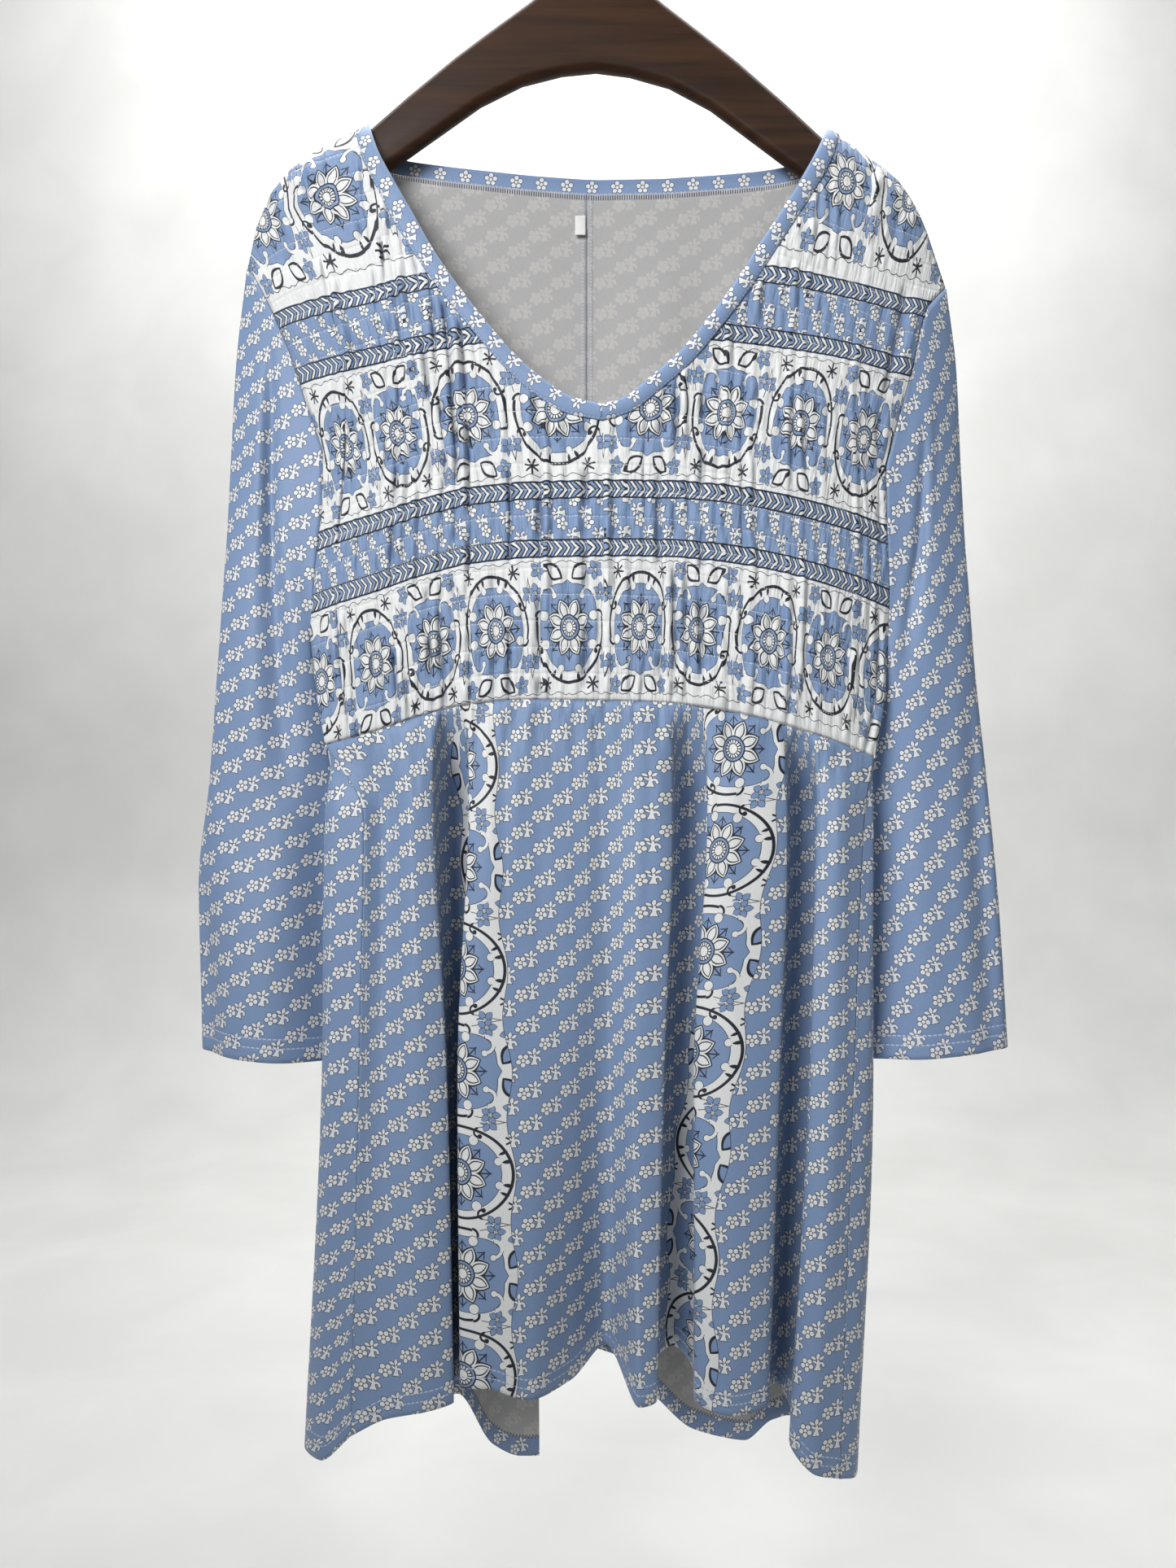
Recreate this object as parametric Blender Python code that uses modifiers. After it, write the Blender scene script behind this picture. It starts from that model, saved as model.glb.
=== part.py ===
"""V-neck tunic blouse with a shirred front and three-quarter sleeves, hanging on a wooden hanger.

Units are metres with +Z up and +X to the viewer's right; the garment faces -Y. The origin is the point
inside the top of the metal hook where a rail carries it. Tables are in millimetres and are scaled by MM.
"""

import math
from collections import namedtuple

import bmesh
import bpy
import numpy as np

MM = 0.001

# Walls and joints
CLOTH_WALL = 1.3 * MM
BINDING_WALL = 2.0 * MM
LABEL_WALL = 0.8 * MM
SEAM_GAP = 0.3 * MM
RIDGE_HALF_GAP = 0.75 * MM  # front and back part from each other over the shoulder ridge
BINDING_HALF_GAP = 1.15 * MM
SIDE_TURN_GAP = 1.1 * MM  # where the back leaves the side seam at a right angle
SIDE_SEAM_GAP = 0.7 * MM
SLEEVE_GAP = 0.9 * MM
UNDERARM_GAP = 1.6 * MM
HALF_SEAM = 0.25 * MM
WAIST_HALF_SEAM = 0.4 * MM

# Levels of the body, from the shoulders down
HIGH_WAIST = -595 * MM
HIP = -640 * MM
THIGH = -800 * MM
HEM = -1030 * MM
CENTRE_V = 1.6 * MM  # the V lies a little right of the centre line
CENTRE_BACK_TOP = -8 * MM

# Shirring of the front
GATHERS = 46
GATHER_HEIGHT = 1.5 * MM
GATHER_STEEPNESS = 0.3
GATHER_SEED = 11
CALM_CORNER = 0.4  # share of the gathers' strength left next to the neck corners
NECK_LEAN = 12 * MM  # how far out the cloth's lines run as they leave each neck corner
NECK_LEAN_REACH = 20 * MM
NECK_LEAN_SPREAD = 25 * MM

# How far the cloth stands off the hanger, as a quick swell over its edge and a slow one below
EDGE_SWELL = 13 * MM
EDGE_REACH = 8 * MM
FRONT_SWELL = 22 * MM
FRONT_REACH = 140 * MM
BACK_SWELL = 22 * MM
BACK_REACH = 330 * MM
SIDE_ROUNDING = 6
BACK_TURN_START = -410 * MM
BACK_TURN_LENGTH = 110 * MM

SIDES = {"left": -1, "right": 1}

ShoulderRow = namedtuple("ShoulderRow", "across height")
SHOULDER = {
    "left": [
        ShoulderRow(0, -78),
        ShoulderRow(150, -189),
        ShoulderRow(158, -192.7),
        ShoulderRow(179, -203),
        ShoulderRow(200, -216),
        ShoulderRow(214.5, -234),
        ShoulderRow(224, -257),
        ShoulderRow(229.6, -283.3),
    ],
    "right": [
        ShoulderRow(0, -78),
        ShoulderRow(149, -192),
        ShoulderRow(156, -195.6),
        ShoulderRow(173, -208.5),
        ShoulderRow(184, -216.5),
        ShoulderRow(195, -225.5),
        ShoulderRow(204, -238),
        ShoulderRow(212, -254),
        ShoulderRow(226, -296),
    ],
}

# Armhole seam down to the underarm, then the side seam down to the high waist seam
EdgeRow = namedtuple("EdgeRow", "height across front back")
SIDE_EDGE = {
    "left": [
        EdgeRow(-283.3, 229.6, -0.7, 0.7),
        EdgeRow(-291, 223.5, -6, 6),
        EdgeRow(-301, 218, -9, 8),
        EdgeRow(-328, 204, -12, 11),
        EdgeRow(-363, 193, -14, 13),
        EdgeRow(-394, 180, -14, 13),
        EdgeRow(-412, 176, -14, 12),
        EdgeRow(-456, 179.5, -13, 9),
        EdgeRow(-498, 186, -10.5, 0),
        EdgeRow(-520, 187, -9, -9),
        EdgeRow(-553, 183.5, -12, -12),
        EdgeRow(-571, 180.5, -15, -15),
        EdgeRow(-595, 175, -20, -20),
    ],
    "right": [
        EdgeRow(-296, 226, -0.7, 0.7),
        EdgeRow(-303, 219, -6, 6),
        EdgeRow(-311, 212, -9, 8),
        EdgeRow(-330, 206, -12, 11),
        EdgeRow(-366, 199, -14, 13),
        EdgeRow(-394, 188.5, -14, 13),
        EdgeRow(-412, 184, -14, 12),
        EdgeRow(-456, 184.5, -13, 9),
        EdgeRow(-498, 187.5, -11, 2),
        EdgeRow(-529, 186.5, -9, -9),
        EdgeRow(-571, 183, -15, -15),
        EdgeRow(-603, 175.5, -20, -20),
    ],
}

# Both edges of the neck binding, from the shoulder to the V
NeckRow = namedtuple("NeckRow", "outer_across outer_height inner_across inner_height")
FRONT_NECK = {
    "left": [
        NeckRow(158, -192.7, 150.5, -189),
        NeckRow(152, -217, 142, -214),
        NeckRow(141.5, -239, 131.5, -234.5),
        NeckRow(130.6, -261, 119.5, -256),
        NeckRow(114.6, -287, 105.5, -281.5),
        NeckRow(96, -313, 88.5, -306.5),
        NeckRow(76, -338, 70, -330.5),
        NeckRow(60, -356.5, 55, -348),
        NeckRow(42, -373, 38, -363.5),
        NeckRow(20, -386.5, 18, -376.5),
        NeckRow(-1.6, -391, -1.6, -381.5),
    ],
    "right": [
        NeckRow(156, -195.6, 149, -192),
        NeckRow(149, -217, 140, -212.5),
        NeckRow(138, -238, 129, -233),
        NeckRow(124.5, -260, 116, -255),
        NeckRow(108.5, -285, 100, -280),
        NeckRow(92, -310, 84.5, -304.5),
        NeckRow(75.5, -332, 68.5, -326),
        NeckRow(57, -354, 51, -347),
        NeckRow(38, -371, 33, -363),
        NeckRow(18, -386, 15, -377),
        NeckRow(1.6, -391, 1.6, -381.5),
    ],
}

# Both edges of the back neck binding, from left to right
BackNeckRow = namedtuple("BackNeckRow", "outer_x outer_height inner_x inner_height")
BACK_NECK = [
    BackNeckRow(-158, -192.7, -150.5, -189),
    BackNeckRow(-153, -206, -145, -199),
    BackNeckRow(-139, -214, -134.5, -204.5),
    BackNeckRow(-107, -218.5, -105, -208.5),
    BackNeckRow(-75, -221.5, -74, -211.5),
    BackNeckRow(-37, -224.5, -37, -214.5),
    BackNeckRow(0, -226, 0, -216),
    BackNeckRow(37, -226, 37, -216),
    BackNeckRow(63, -225, 62, -215),
    BackNeckRow(91, -223.5, 90, -213.5),
    BackNeckRow(119, -221, 116, -211),
    BackNeckRow(142, -215, 136, -206),
    BackNeckRow(151.5, -207, 144, -200.5),
    BackNeckRow(156, -195.6, 149, -192),
]

# High waist seam, an arch that is lower at the sides
WaistRow = namedtuple("WaistRow", "x height")
WAIST_SEAM = [
    WaistRow(-175, -595),
    WaistRow(-148, -588.5),
    WaistRow(-106, -575.5),
    WaistRow(-80, -569.5),
    WaistRow(-45, -567),
    WaistRow(0, -567.5),
    WaistRow(42, -569),
    WaistRow(73, -573),
    WaistRow(104, -579.5),
    WaistRow(135, -588.5),
    WaistRow(157, -596),
    WaistRow(175.5, -603),
]

# Lines down the skirt front, from the left side seam to the right one
FoldLine = namedtuple("FoldLine", "name seam_x hip_x hip_y thigh_x thigh_y hem_x hem_y hem_height")
FRONT_FOLDS = [
    FoldLine("left side seam", -175, -148.5, -32, -151.5, -31, -156.5, -30, -1031),
    FoldLine("left soft hollow", -150, -135, -25, -138, -27, -132, -36, -1017),
    FoldLine("left crest", -122, -117, -38, -113, -39, -108, -40, -1011),
    FoldLine("left lobe edge", -106, -104.5, -33, -96.5, -33, -92, -34, -1008),
    FoldLine("first valley, left wall", -100, -104.5, -12, -100, -12, -97.5, -10, -1008),
    FoldLine("first valley, floor", -94, -96, 6, -96.5, 8, -96, 10, -1014),
    FoldLine("first valley, right wall", -87, -80.5, -8, -86, -10, -86.5, -10, -1006),
    FoldLine("centre lobe, left edge", -81, -82, -33, -89, -33, -87.5, -34, -999),
    FoldLine("centre lobe, crest", -68, -69.5, -38, -74.5, -40, -70, -42, -996.5),
    FoldLine("centre lobe, flat", -44, -44.5, -36, -44, -38, -44, -40, -1004),
    FoldLine("centre hollow, left side", -19, -19, -33, -19, -32, -19, -20, -1001),
    FoldLine("centre hollow", 4, 4, -30, 4.5, -22, 4.5, 4, -988),
    FoldLine("narrow crest", 27, 27, -35, 24.5, -36, 24.5, -38, -1009),
    FoldLine("narrow crest, right edge", 44, 45.5, -30, 40.5, -31, 35.5, -34, -1007),
    FoldLine("second valley, left wall", 50, 47.5, -12, 41, -10, 36.5, -8, -996),
    FoldLine("second valley, floor", 56, 59.5, 4, 53.5, 6, 49, 10, -992),
    FoldLine("second valley, right wall", 62, 72, -10, 65, -8, 61, -8, -1000),
    FoldLine("right lobe, left edge", 68, 68, -32, 59.5, -32, 60, -32, -1008),
    FoldLine("right lobe, crest", 88, 86, -38, 83, -41, 82, -44, -1012),
    FoldLine("right lobe, right edge", 114, 117.5, -32, 113, -33, 105.5, -34, -1010),
    FoldLine("third valley, left wall", 119.5, 121, -12, 116, -10, 108.5, -10, -1012),
    FoldLine("third valley, floor", 125, 133, 4, 128, 6, 119.5, 10, -1018),
    FoldLine("third valley, right wall", 129, 142.5, -8, 139, -8, 125, -10, -1028),
    FoldLine("last lobe, left edge", 137.5, 137, -30, 132.5, -32, 119.5, -32, -1034),
    FoldLine("last lobe, crest", 152, 149, -36, 145, -39, 133, -42, -1049),
    FoldLine("right side seam", 175.5, 168, -26, 160, -32, 150.5, -36, -1055),
]

# Lines down the back, from the centre back seam round to each side seam on the front
BackFold = namedtuple("BackFold", "name hip_x hip_y thigh_x thigh_y hem_x hem_y hem_height")
BACK_FOLDS = {
    "left": [
        BackFold("centre back seam", -6.5, 30, -6, 42, -5, 60, -1014),
        BackFold("far layer", -22, 30, -26, 44, -27, 64, -1034),
        BackFold("turn of the tuck", -34, 29.5, -42, 42, -49, 59, -1060),
        BackFold("edge of the tuck", -42, 29, -43, 37, -41.5, 48.5, -1085),
        BackFold("tuck front", -56, 28, -55, 34, -54, 44, -1083),
        BackFold("tuck slope", -72, 27, -72, 32, -73, 37, -1070),
        BackFold("inward hollow", -90, 25, -92, 23, -95, 20, -1028),
        BackFold("inner swell", -112, 23, -114, 20, -119, 17, -1032),
        BackFold("outer swell", -137, 16, -140, 18, -149, 22, -1046),
        BackFold("back corner", -160, 1, -163, 3, -177, 10, -1047),
        BackFold("side edge", -175.4, -17, -177.8, -14, -190.5, -7, -1048),
        BackFold("front corner", -167, -29, -168, -28, -177, -25, -1049),
        BackFold("side seam", -148.5, -32, -151.5, -31, -156.5, -30, -1031),
    ],
    "right": [
        BackFold("centre back seam", -6.5, 30, -6, 42, -5, 60, -1014),
        BackFold("centre swell", 16, 30, 18, 38, 20, 50, -1019),
        BackFold("inward hollow", 36, 29, 38, 31, 39, 32, -1036),
        BackFold("low slope", 58, 28, 61, 32, 63, 39, -1061),
        BackFold("low swell", 78, 27, 81, 34, 84, 45, -1070),
        BackFold("lowest point", 97, 25, 99, 34, 101, 48, -1074),
        BackFold("outer slope", 115, 22, 117, 29, 119, 40, -1056),
        BackFold("outer hollow", 134, 17, 134, 22, 134, 32, -1050),
        BackFold("outer swell", 150, 9, 151, 12, 151, 18, -1053),
        BackFold("back corner", 163, -3, 165, -1, 160.5, 4, -1055),
        BackFold("side edge", 174.2, -15, 175.5, -14, 165.5, -12, -1057),
        BackFold("front corner", 174, -22, 171, -26, 161.5, -27, -1058),
        BackFold("side seam", 168, -26, 160, -32, 150.5, -36, -1055),
    ],
}

# Rings of each sleeve. Above the underarm the inner side is the armhole seam itself.
SleeveRing = namedtuple(
    "SleeveRing",
    "inner_height inner_across inner_y outer_height outer_across outer_y front_swell back_swell",
)
SLEEVE_RINGS = {
    "left": [
        SleeveRing(-394, 180, 0, -345, 238, 3, 4, 4),
        SleeveRing(-456, 179.5, 0, -408, 242, 5, 6, 10),
        SleeveRing(-520, 187, -9, -480, 246.5, 7, 10, 22),
        SleeveRing(-575, 182, 1, -545, 251.5, 9, 15, 24),
        SleeveRing(-640, 174, 8, -620, 258, 13, 19, 24),
        SleeveRing(-720, 172, 9, -690, 266, 18, 27, 24),
        SleeveRing(-801, 171, 8, -795, 264, 22, 34, 22),
    ],
    "right": [
        SleeveRing(-394, 188.5, 0, -349, 234, 3, 4, 4),
        SleeveRing(-456, 184.5, 0, -412, 237.5, 5, 6, 10),
        SleeveRing(-529, 186.5, -9, -480, 242, 7, 10, 22),
        SleeveRing(-575, 182, 0, -545, 247, 8, 16, 24),
        SleeveRing(-640, 174, 8, -620, 255, 8, 18, 26),
        SleeveRing(-720, 172, 9, -705, 262.5, 7, 22, 28),
        SleeveRing(-800, 171, 8, -791, 267, 5, 26, 30),
    ],
}

# Hollows pressed into the sleeves. Angles run from the inner side, over the front, to the outside.
SleeveFold = namedtuple("SleeveFold", "top bottom top_angle bottom_angle width depth")
SLEEVE_FOLDS = {
    "left": [
        SleeveFold(-330, -640, 84, 74, 15, 9),
        SleeveFold(-600, -860, 40, 48, 22, 6),
        SleeveFold(-640, -860, 150, 138, 16, 7),
        SleeveFold(-420, -860, 255, 262, 24, 8),
    ],
    "right": [
        SleeveFold(-380, -560, 62, 58, 14, 5),
        SleeveFold(-540, -860, 138, 134, 16, 6),
        SleeveFold(-560, -860, 45, 52, 20, 5),
        SleeveFold(-420, -860, 250, 262, 24, 8),
    ],
}

# Hanger, as an even pair of arms before it is tilted
HANGER_TILT = math.radians(0.8)
HANGER_THICKNESS = 12 * MM
HANGER_EDGE_ROUND = 5.5 * MM
OutlineRow = namedtuple("OutlineRow", "across height")
HANGER_TOP = [
    OutlineRow(0, -72),
    OutlineRow(14, -72.5),
    OutlineRow(19, -77),
    OutlineRow(22, -88),
    OutlineRow(31, -100),
    OutlineRow(46, -112),
    OutlineRow(70, -130),
    OutlineRow(92, -147),
    OutlineRow(123, -173.5),
    OutlineRow(155, -202.5),
    OutlineRow(170, -213.5),
    OutlineRow(185, -224),
    OutlineRow(194, -232),
    OutlineRow(199, -241),
]
HANGER_UNDERSIDE = [
    OutlineRow(197, -248),
    OutlineRow(188, -251),
    OutlineRow(166, -240),
    OutlineRow(141, -226),
    OutlineRow(101, -197),
    OutlineRow(75, -178),
    OutlineRow(48, -164),
    OutlineRow(22, -157),
    OutlineRow(0, -154.5),
]

# Hook
HOOK_WIRE = 3.8 * MM
HOOK_LOOP_RADIUS = 24 * MM
HOOK_STEM_TOP = -52 * MM
HOOK_END_ANGLE = math.radians(205)
HOOK_STEP = math.radians(15)

# Size tab on the wrong side of the back, left empty
LABEL_LEFT = -15.8 * MM
LABEL_RIGHT = -9.2 * MM
LABEL_TOP = -242 * MM
LABEL_HEIGHT = 12 * MM

# Divisions. Pieces that share a seam share its rows, as shares of the way down.
UNDERARM_ROW = 0.76
CAP_ROW = 0.18
BODICE_ROWS = [0, 0.022, 0.05, 0.1, CAP_ROW, 0.28, 0.39, 0.51, 0.64, UNDERARM_ROW, 0.88, 1]
SKIRT_ROWS = [0, 0.045, 0.1, 0.18, 0.28, 0.4, 0.52, 0.64, 0.76, 0.88, 1]
LOWER_PLACES = [0, HIGH_WAIST - HIP, HIGH_WAIST - THIGH, HIGH_WAIST - HEM]
SLEEVE_LOWER_ROWS = [0.12, 0.25, 0.4, 0.55, 0.7, 0.85, 1]
SLEEVE_COLUMNS = 26
SEAM_PULL = math.radians(60)  # how far round a sleeve its armhole seam draws the cloth
INNER_FULLNESS = 1.6  # powers of the swell on a sleeve's inner and outer halves
OUTER_FULLNESS = 0.8
SLEEVE_REACH = 0.75  # with the rise, makes the cloth leave the armhole level before it climbs
SLEEVE_RISE = 1.4
BACK_COLUMNS = 22
FOLD_STEPS = 2
BACK_NECK_CLOSENESS = 1.25  # how much closer the back neck's steps are at the shoulders


def column(table, name):
    """One named column of a table, in metres."""
    return np.array([getattr(row, name) for row in table], dtype=float) * MM


def smooth(knots, values, at):
    """A cubic curve through values, one for each rising knot, read at each place in at.

    It turns only at its own values, so that it never swings past a crest or a hollow.
    """
    knots = np.asarray(knots, dtype=float)
    values = np.asarray(values, dtype=float)
    at = np.asarray(at, dtype=float)
    widths = np.diff(knots).reshape((-1,) + (1,) * (values.ndim - 1))
    rises = np.diff(values, axis=0) / widths
    before, after = rises[:-1], rises[1:]
    same_way = before * after > 0
    total = np.where(same_way, before + after, 1.0)
    inner_slopes = np.where(same_way, 2 * before * after / total, 0.0)
    slopes = np.concatenate([rises[:1], inner_slopes, rises[-1:]])
    low = np.clip(np.searchsorted(knots, at, side="right") - 1, 0, len(knots) - 2)
    shape = at.shape + (1,) * (values.ndim - 1)
    span = (knots[low + 1] - knots[low]).reshape(shape)
    t = ((at - knots[low]).reshape(shape)) / span
    start = (1 + 2 * t) * (1 - t) ** 2 * values[low] + t * (1 - t) ** 2 * span * slopes[low]
    end = t * t * (3 - 2 * t) * values[low + 1] - t * t * (1 - t) * span * slopes[low + 1]
    return start + end


def shoulder_height(x):
    """Height of the shoulder ridge, and of its line carried on to the crown, over x."""
    heights = [
        np.interp(np.abs(x), column(SHOULDER[side], "across"), column(SHOULDER[side], "height"))
        for side in ("left", "right")
    ]
    return np.where(np.asarray(x) < 0, heights[0], heights[1])


def seam_height(side, row):
    """Height of the side edge at a row, from 0 at the armhole's top to 1 at the high waist seam."""
    table = SIDE_EDGE[side]
    first, last = table[0].height * MM, table[-1].height * MM
    return first + (last - first) * row


def edge(side, height, name):
    """A column of the side edge table at a height, straight between the shared rows."""
    table = SIDE_EDGE[side]
    rows = seam_height(side, np.array(BODICE_ROWS))
    values = np.interp(-rows, -column(table, "height"), column(table, name))
    return np.interp(-np.asarray(height), -rows, values)


def front_swell(x, z):
    """How far the cloth front stands in front of the shoulder ridge's plane."""
    drop = np.maximum(shoulder_height(x) - z, 0)
    return EDGE_SWELL * (1 - np.exp(-drop / EDGE_REACH)) + FRONT_SWELL * (1 - np.exp(-drop / FRONT_REACH))


def back_swell(x, z):
    """How far the cloth back stands behind the shoulder ridge's plane."""
    drop = np.maximum(shoulder_height(x) - z, 0)
    slow = 1 - np.exp(-((drop / BACK_REACH) ** 1.5))
    return EDGE_SWELL * (1 - np.exp(-drop / EDGE_REACH)) + BACK_SWELL * slow


def by_side(x, left, right):
    """Picks the left or the right value for each x."""
    return np.where(np.asarray(x) < 0, left, right)


def edge_share(x, z):
    """How far out a point lies, from 0 at the centre line to 1 at the side edge of its height."""
    across = by_side(x, edge("left", z, "across"), edge("right", z, "across"))
    return np.clip(np.abs(x) / across, 0, 1)


def front_y(x, z):
    """Depth of the front over a place, level with the side edge at the side."""
    side_y = by_side(x, edge("left", z, "front"), edge("right", z, "front"))
    nearness = edge_share(x, z) ** SIDE_ROUNDING
    y = -front_swell(x, z) * (1 - nearness) + side_y * nearness
    return np.minimum(y, -RIDGE_HALF_GAP)


def back_y(x, z):
    """Depth of the back over a place: flat between the armholes, and an oval below them."""
    side_y = by_side(x, edge("left", z, "back"), edge("right", z, "back"))
    turned = np.clip((BACK_TURN_START - z) / BACK_TURN_LENGTH, 0, 1)
    share = edge_share(x, z)
    flat = 1 - share**SIDE_ROUNDING
    oval = np.sqrt(1 - share**2)
    side_y = side_y + turned * SIDE_TURN_GAP
    y = side_y + (back_swell(x, z) - side_y) * (flat + (oval - flat) * turned)
    upper = z > BACK_TURN_START
    return np.where(upper, np.maximum(y, RIDGE_HALF_GAP), y)


def waist_height(x):
    """Height of the high waist seam over x."""
    return smooth(column(WAIST_SEAM, "x"), column(WAIST_SEAM, "height"), x)


def neck_curve(table, across, height, sign):
    """One edge of the neck as a fine curve, from the shoulder to the V."""
    corners = np.stack([sign * column(table, across), column(table, height)], axis=-1)
    lengths = np.linalg.norm(np.diff(corners, axis=0), axis=1)
    along = np.concatenate([[0], np.cumsum(lengths)])
    return smooth(along, corners, np.linspace(0, along[-1], 200))


def neck_end(side):
    """How far from the centre the bound neck edge meets the shoulder ridge."""
    return FRONT_NECK[side][0].outer_across * MM


def shoulder_top(side, low, corner):
    """Places over the shoulder ridge for columns that lie lower down at the distances low."""
    shares = (low - low[corner]) / (edge_top(side) - low[corner])
    across = neck_end(side) + (edge_top(side) - neck_end(side)) * shares
    x = SIDES[side] * across
    return np.stack([x, shoulder_height(x)], axis=-1)


def read_curve(curve, places):
    """Points of a fine curve at places from 0 to 1 along it."""
    at = np.asarray(places) * (len(curve) - 1)
    return np.stack([np.interp(at, np.arange(len(curve)), part) for part in curve.T], axis=-1)


def gathers():
    """The shirring's crests and hollows: their places across, over the top and which way each goes."""
    random = np.random.default_rng(GATHER_SEED)
    places = np.arange(2 * GATHERS + 1) - GATHERS + random.uniform(-0.28, 0.28, 2 * GATHERS + 1)
    places[[0, -1]] = (-GATHERS, GATHERS)
    across = places / GATHERS * by_side(places, edge_top("left"), edge_top("right"))
    across[GATHERS] = CENTRE_V
    strength = random.uniform(0.55, 1.0, 2 * GATHERS + 1)
    strength[[0, -1]] = 0
    top = np.zeros((2 * GATHERS + 1, 2))
    for side, sign in SIDES.items():
        half = slice(GATHERS, None, sign)
        low = np.abs(across[half])
        corner = neck_corner(side, low)
        curve = neck_curve(FRONT_NECK[side], "outer_across", "outer_height", sign)
        lean = NECK_LEAN * np.exp(-(low[corner] - low) / NECK_LEAN_SPREAD)
        x = sign * (low - lean)[:corner + 1]
        x[[0, -1]] = (CENTRE_V, sign * neck_end(side))
        neck = np.stack([x, np.interp(sign * x, sign * curve[::-1, 0], curve[::-1, 1])], axis=-1)
        top[half] = np.concatenate([neck, shoulder_top(side, low, corner)[corner + 1:]])
        strength[half][corner - 2:corner + 3] *= CALM_CORNER
    crest = np.where(np.arange(2 * GATHERS + 1) % 2 == 1, 1.0, -1.0)
    return across, top, crest * strength


def neck_corner(side, low):
    """Which of the columns, at the distances low from the centre, starts at the neck's corner."""
    return int(np.argmin(np.abs(low - neck_end(side) - NECK_LEAN)))


def edge_top(side):
    """How far from the centre the armhole's top lies."""
    return SIDE_EDGE[side][0].across * MM


def bodice_row(across, top, row):
    """The bodice without its gathers, at one row from 0 to 1, for columns across and their tops."""
    top_across = by_side(across, edge_top("left"), edge_top("right"))
    share = np.abs(across) / top_across
    pull = np.sign(across) * share**2
    row_across = [edge(side, seam_height(side, row), "across") for side in SIDES]
    end_across = [edge(side, seam_height(side, 1), "across") for side in SIDES]
    end_x = across - pull * (top_across - by_side(across, *end_across))
    z = top[:, 1] + (waist_height(end_x) - top[:, 1]) * row
    z[[0, -1]] = [seam_height(side, row) for side in SIDES]
    lean = np.exp(-(top[:, 1] - z) / NECK_LEAN_REACH)
    x = across - pull * (top_across - by_side(across, *row_across)) + (top[:, 0] - across) * lean
    return np.stack([x, front_y(x, z), z], axis=-1)


def bodice_points():
    """The shirred front from the shoulders and neck to the high waist seam."""
    across, top, crest = gathers()
    rows = []
    for row in BODICE_ROWS:
        base = bodice_row(across, top, row)
        spacing = np.abs(np.gradient(base[:, 0]))
        fade = min(1.0, 0.12 + row / 0.06, 0.3 + (1 - row) / 0.06)
        height = np.minimum(GATHER_HEIGHT, GATHER_STEEPNESS * spacing) * crest * fade
        base[:, 1] = np.minimum(base[:, 1] - height, -RIDGE_HALF_GAP)
        rows.append(base)
    points = np.array(rows)
    points[-1, :, 2] += WAIST_HALF_SEAM
    return points


def fold_station(table, x_name, y_name, height):
    """One level of a fold table, read smoothly with FOLD_STEPS steps a row."""
    x = column(table, x_name)
    y = column(table, y_name)
    z = column(table, height) if isinstance(height, str) else np.full(len(x), height)
    knots = np.arange(len(table))
    at = np.linspace(0, len(table) - 1, (len(table) - 1) * FOLD_STEPS + 1)
    return smooth(knots, np.stack([x, y, z], axis=-1), at)


def skirt_points():
    """The skirt front from the high waist seam to the hem, between the side seams."""
    knots = np.arange(len(FRONT_FOLDS))
    at = np.linspace(0, len(FRONT_FOLDS) - 1, (len(FRONT_FOLDS) - 1) * FOLD_STEPS + 1)
    seam_x = smooth(knots, column(FRONT_FOLDS, "seam_x"), at)
    seam_z = waist_height(seam_x)
    seam = np.stack([seam_x, front_y(seam_x, seam_z), seam_z - WAIST_HALF_SEAM], axis=-1)
    levels = [
        seam,
        fold_station(FRONT_FOLDS, "hip_x", "hip_y", HIP),
        fold_station(FRONT_FOLDS, "thigh_x", "thigh_y", THIGH),
        fold_station(FRONT_FOLDS, "hem_x", "hem_y", "hem_height"),
    ]
    return smooth(LOWER_PLACES, levels, np.array(SKIRT_ROWS) * LOWER_PLACES[-1])


def back_columns(side):
    """Shares of the way out of a back panel's columns, close together at the side, and their tops."""
    sign = SIDES[side]
    start = sign * CENTRE_BACK_TOP
    share = np.sin(np.linspace(0, math.pi / 2, BACK_COLUMNS + 1))
    low = start + (edge_top(side) - start) * share
    corner = neck_corner(side, low)
    curve = neck_curve(BACK_NECK, "outer_x", "outer_height", 1)[::-sign]
    centre = np.interp(sign * CENTRE_BACK_TOP, sign * curve[::-1, 0], np.linspace(1, 0, len(curve)))
    neck = read_curve(curve, centre * (1 - np.arange(corner + 1) / corner) ** BACK_NECK_CLOSENESS)
    return share, np.concatenate([neck, shoulder_top(side, low, corner)[corner + 1:]]), corner


def back_row(side, share, top, row):
    """One row of a back panel between the shoulder and the high waist, at a row from 0 to 1."""
    sign = SIDES[side]
    start = sign * CENTRE_BACK_TOP
    height = seam_height(side, row)
    z = top[:, 1] + (seam_height(side, 1) - top[:, 1]) * row
    low = sign * (start + (edge_top(side) - start) * share)
    lean = np.exp(-(top[:, 1] - z) / NECK_LEAN_REACH)
    x = sign * (start + (edge(side, height, "across") - start) * share) + (top[:, 0] - low) * lean
    return np.stack([x, back_y(x, z), z], axis=-1)


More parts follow.
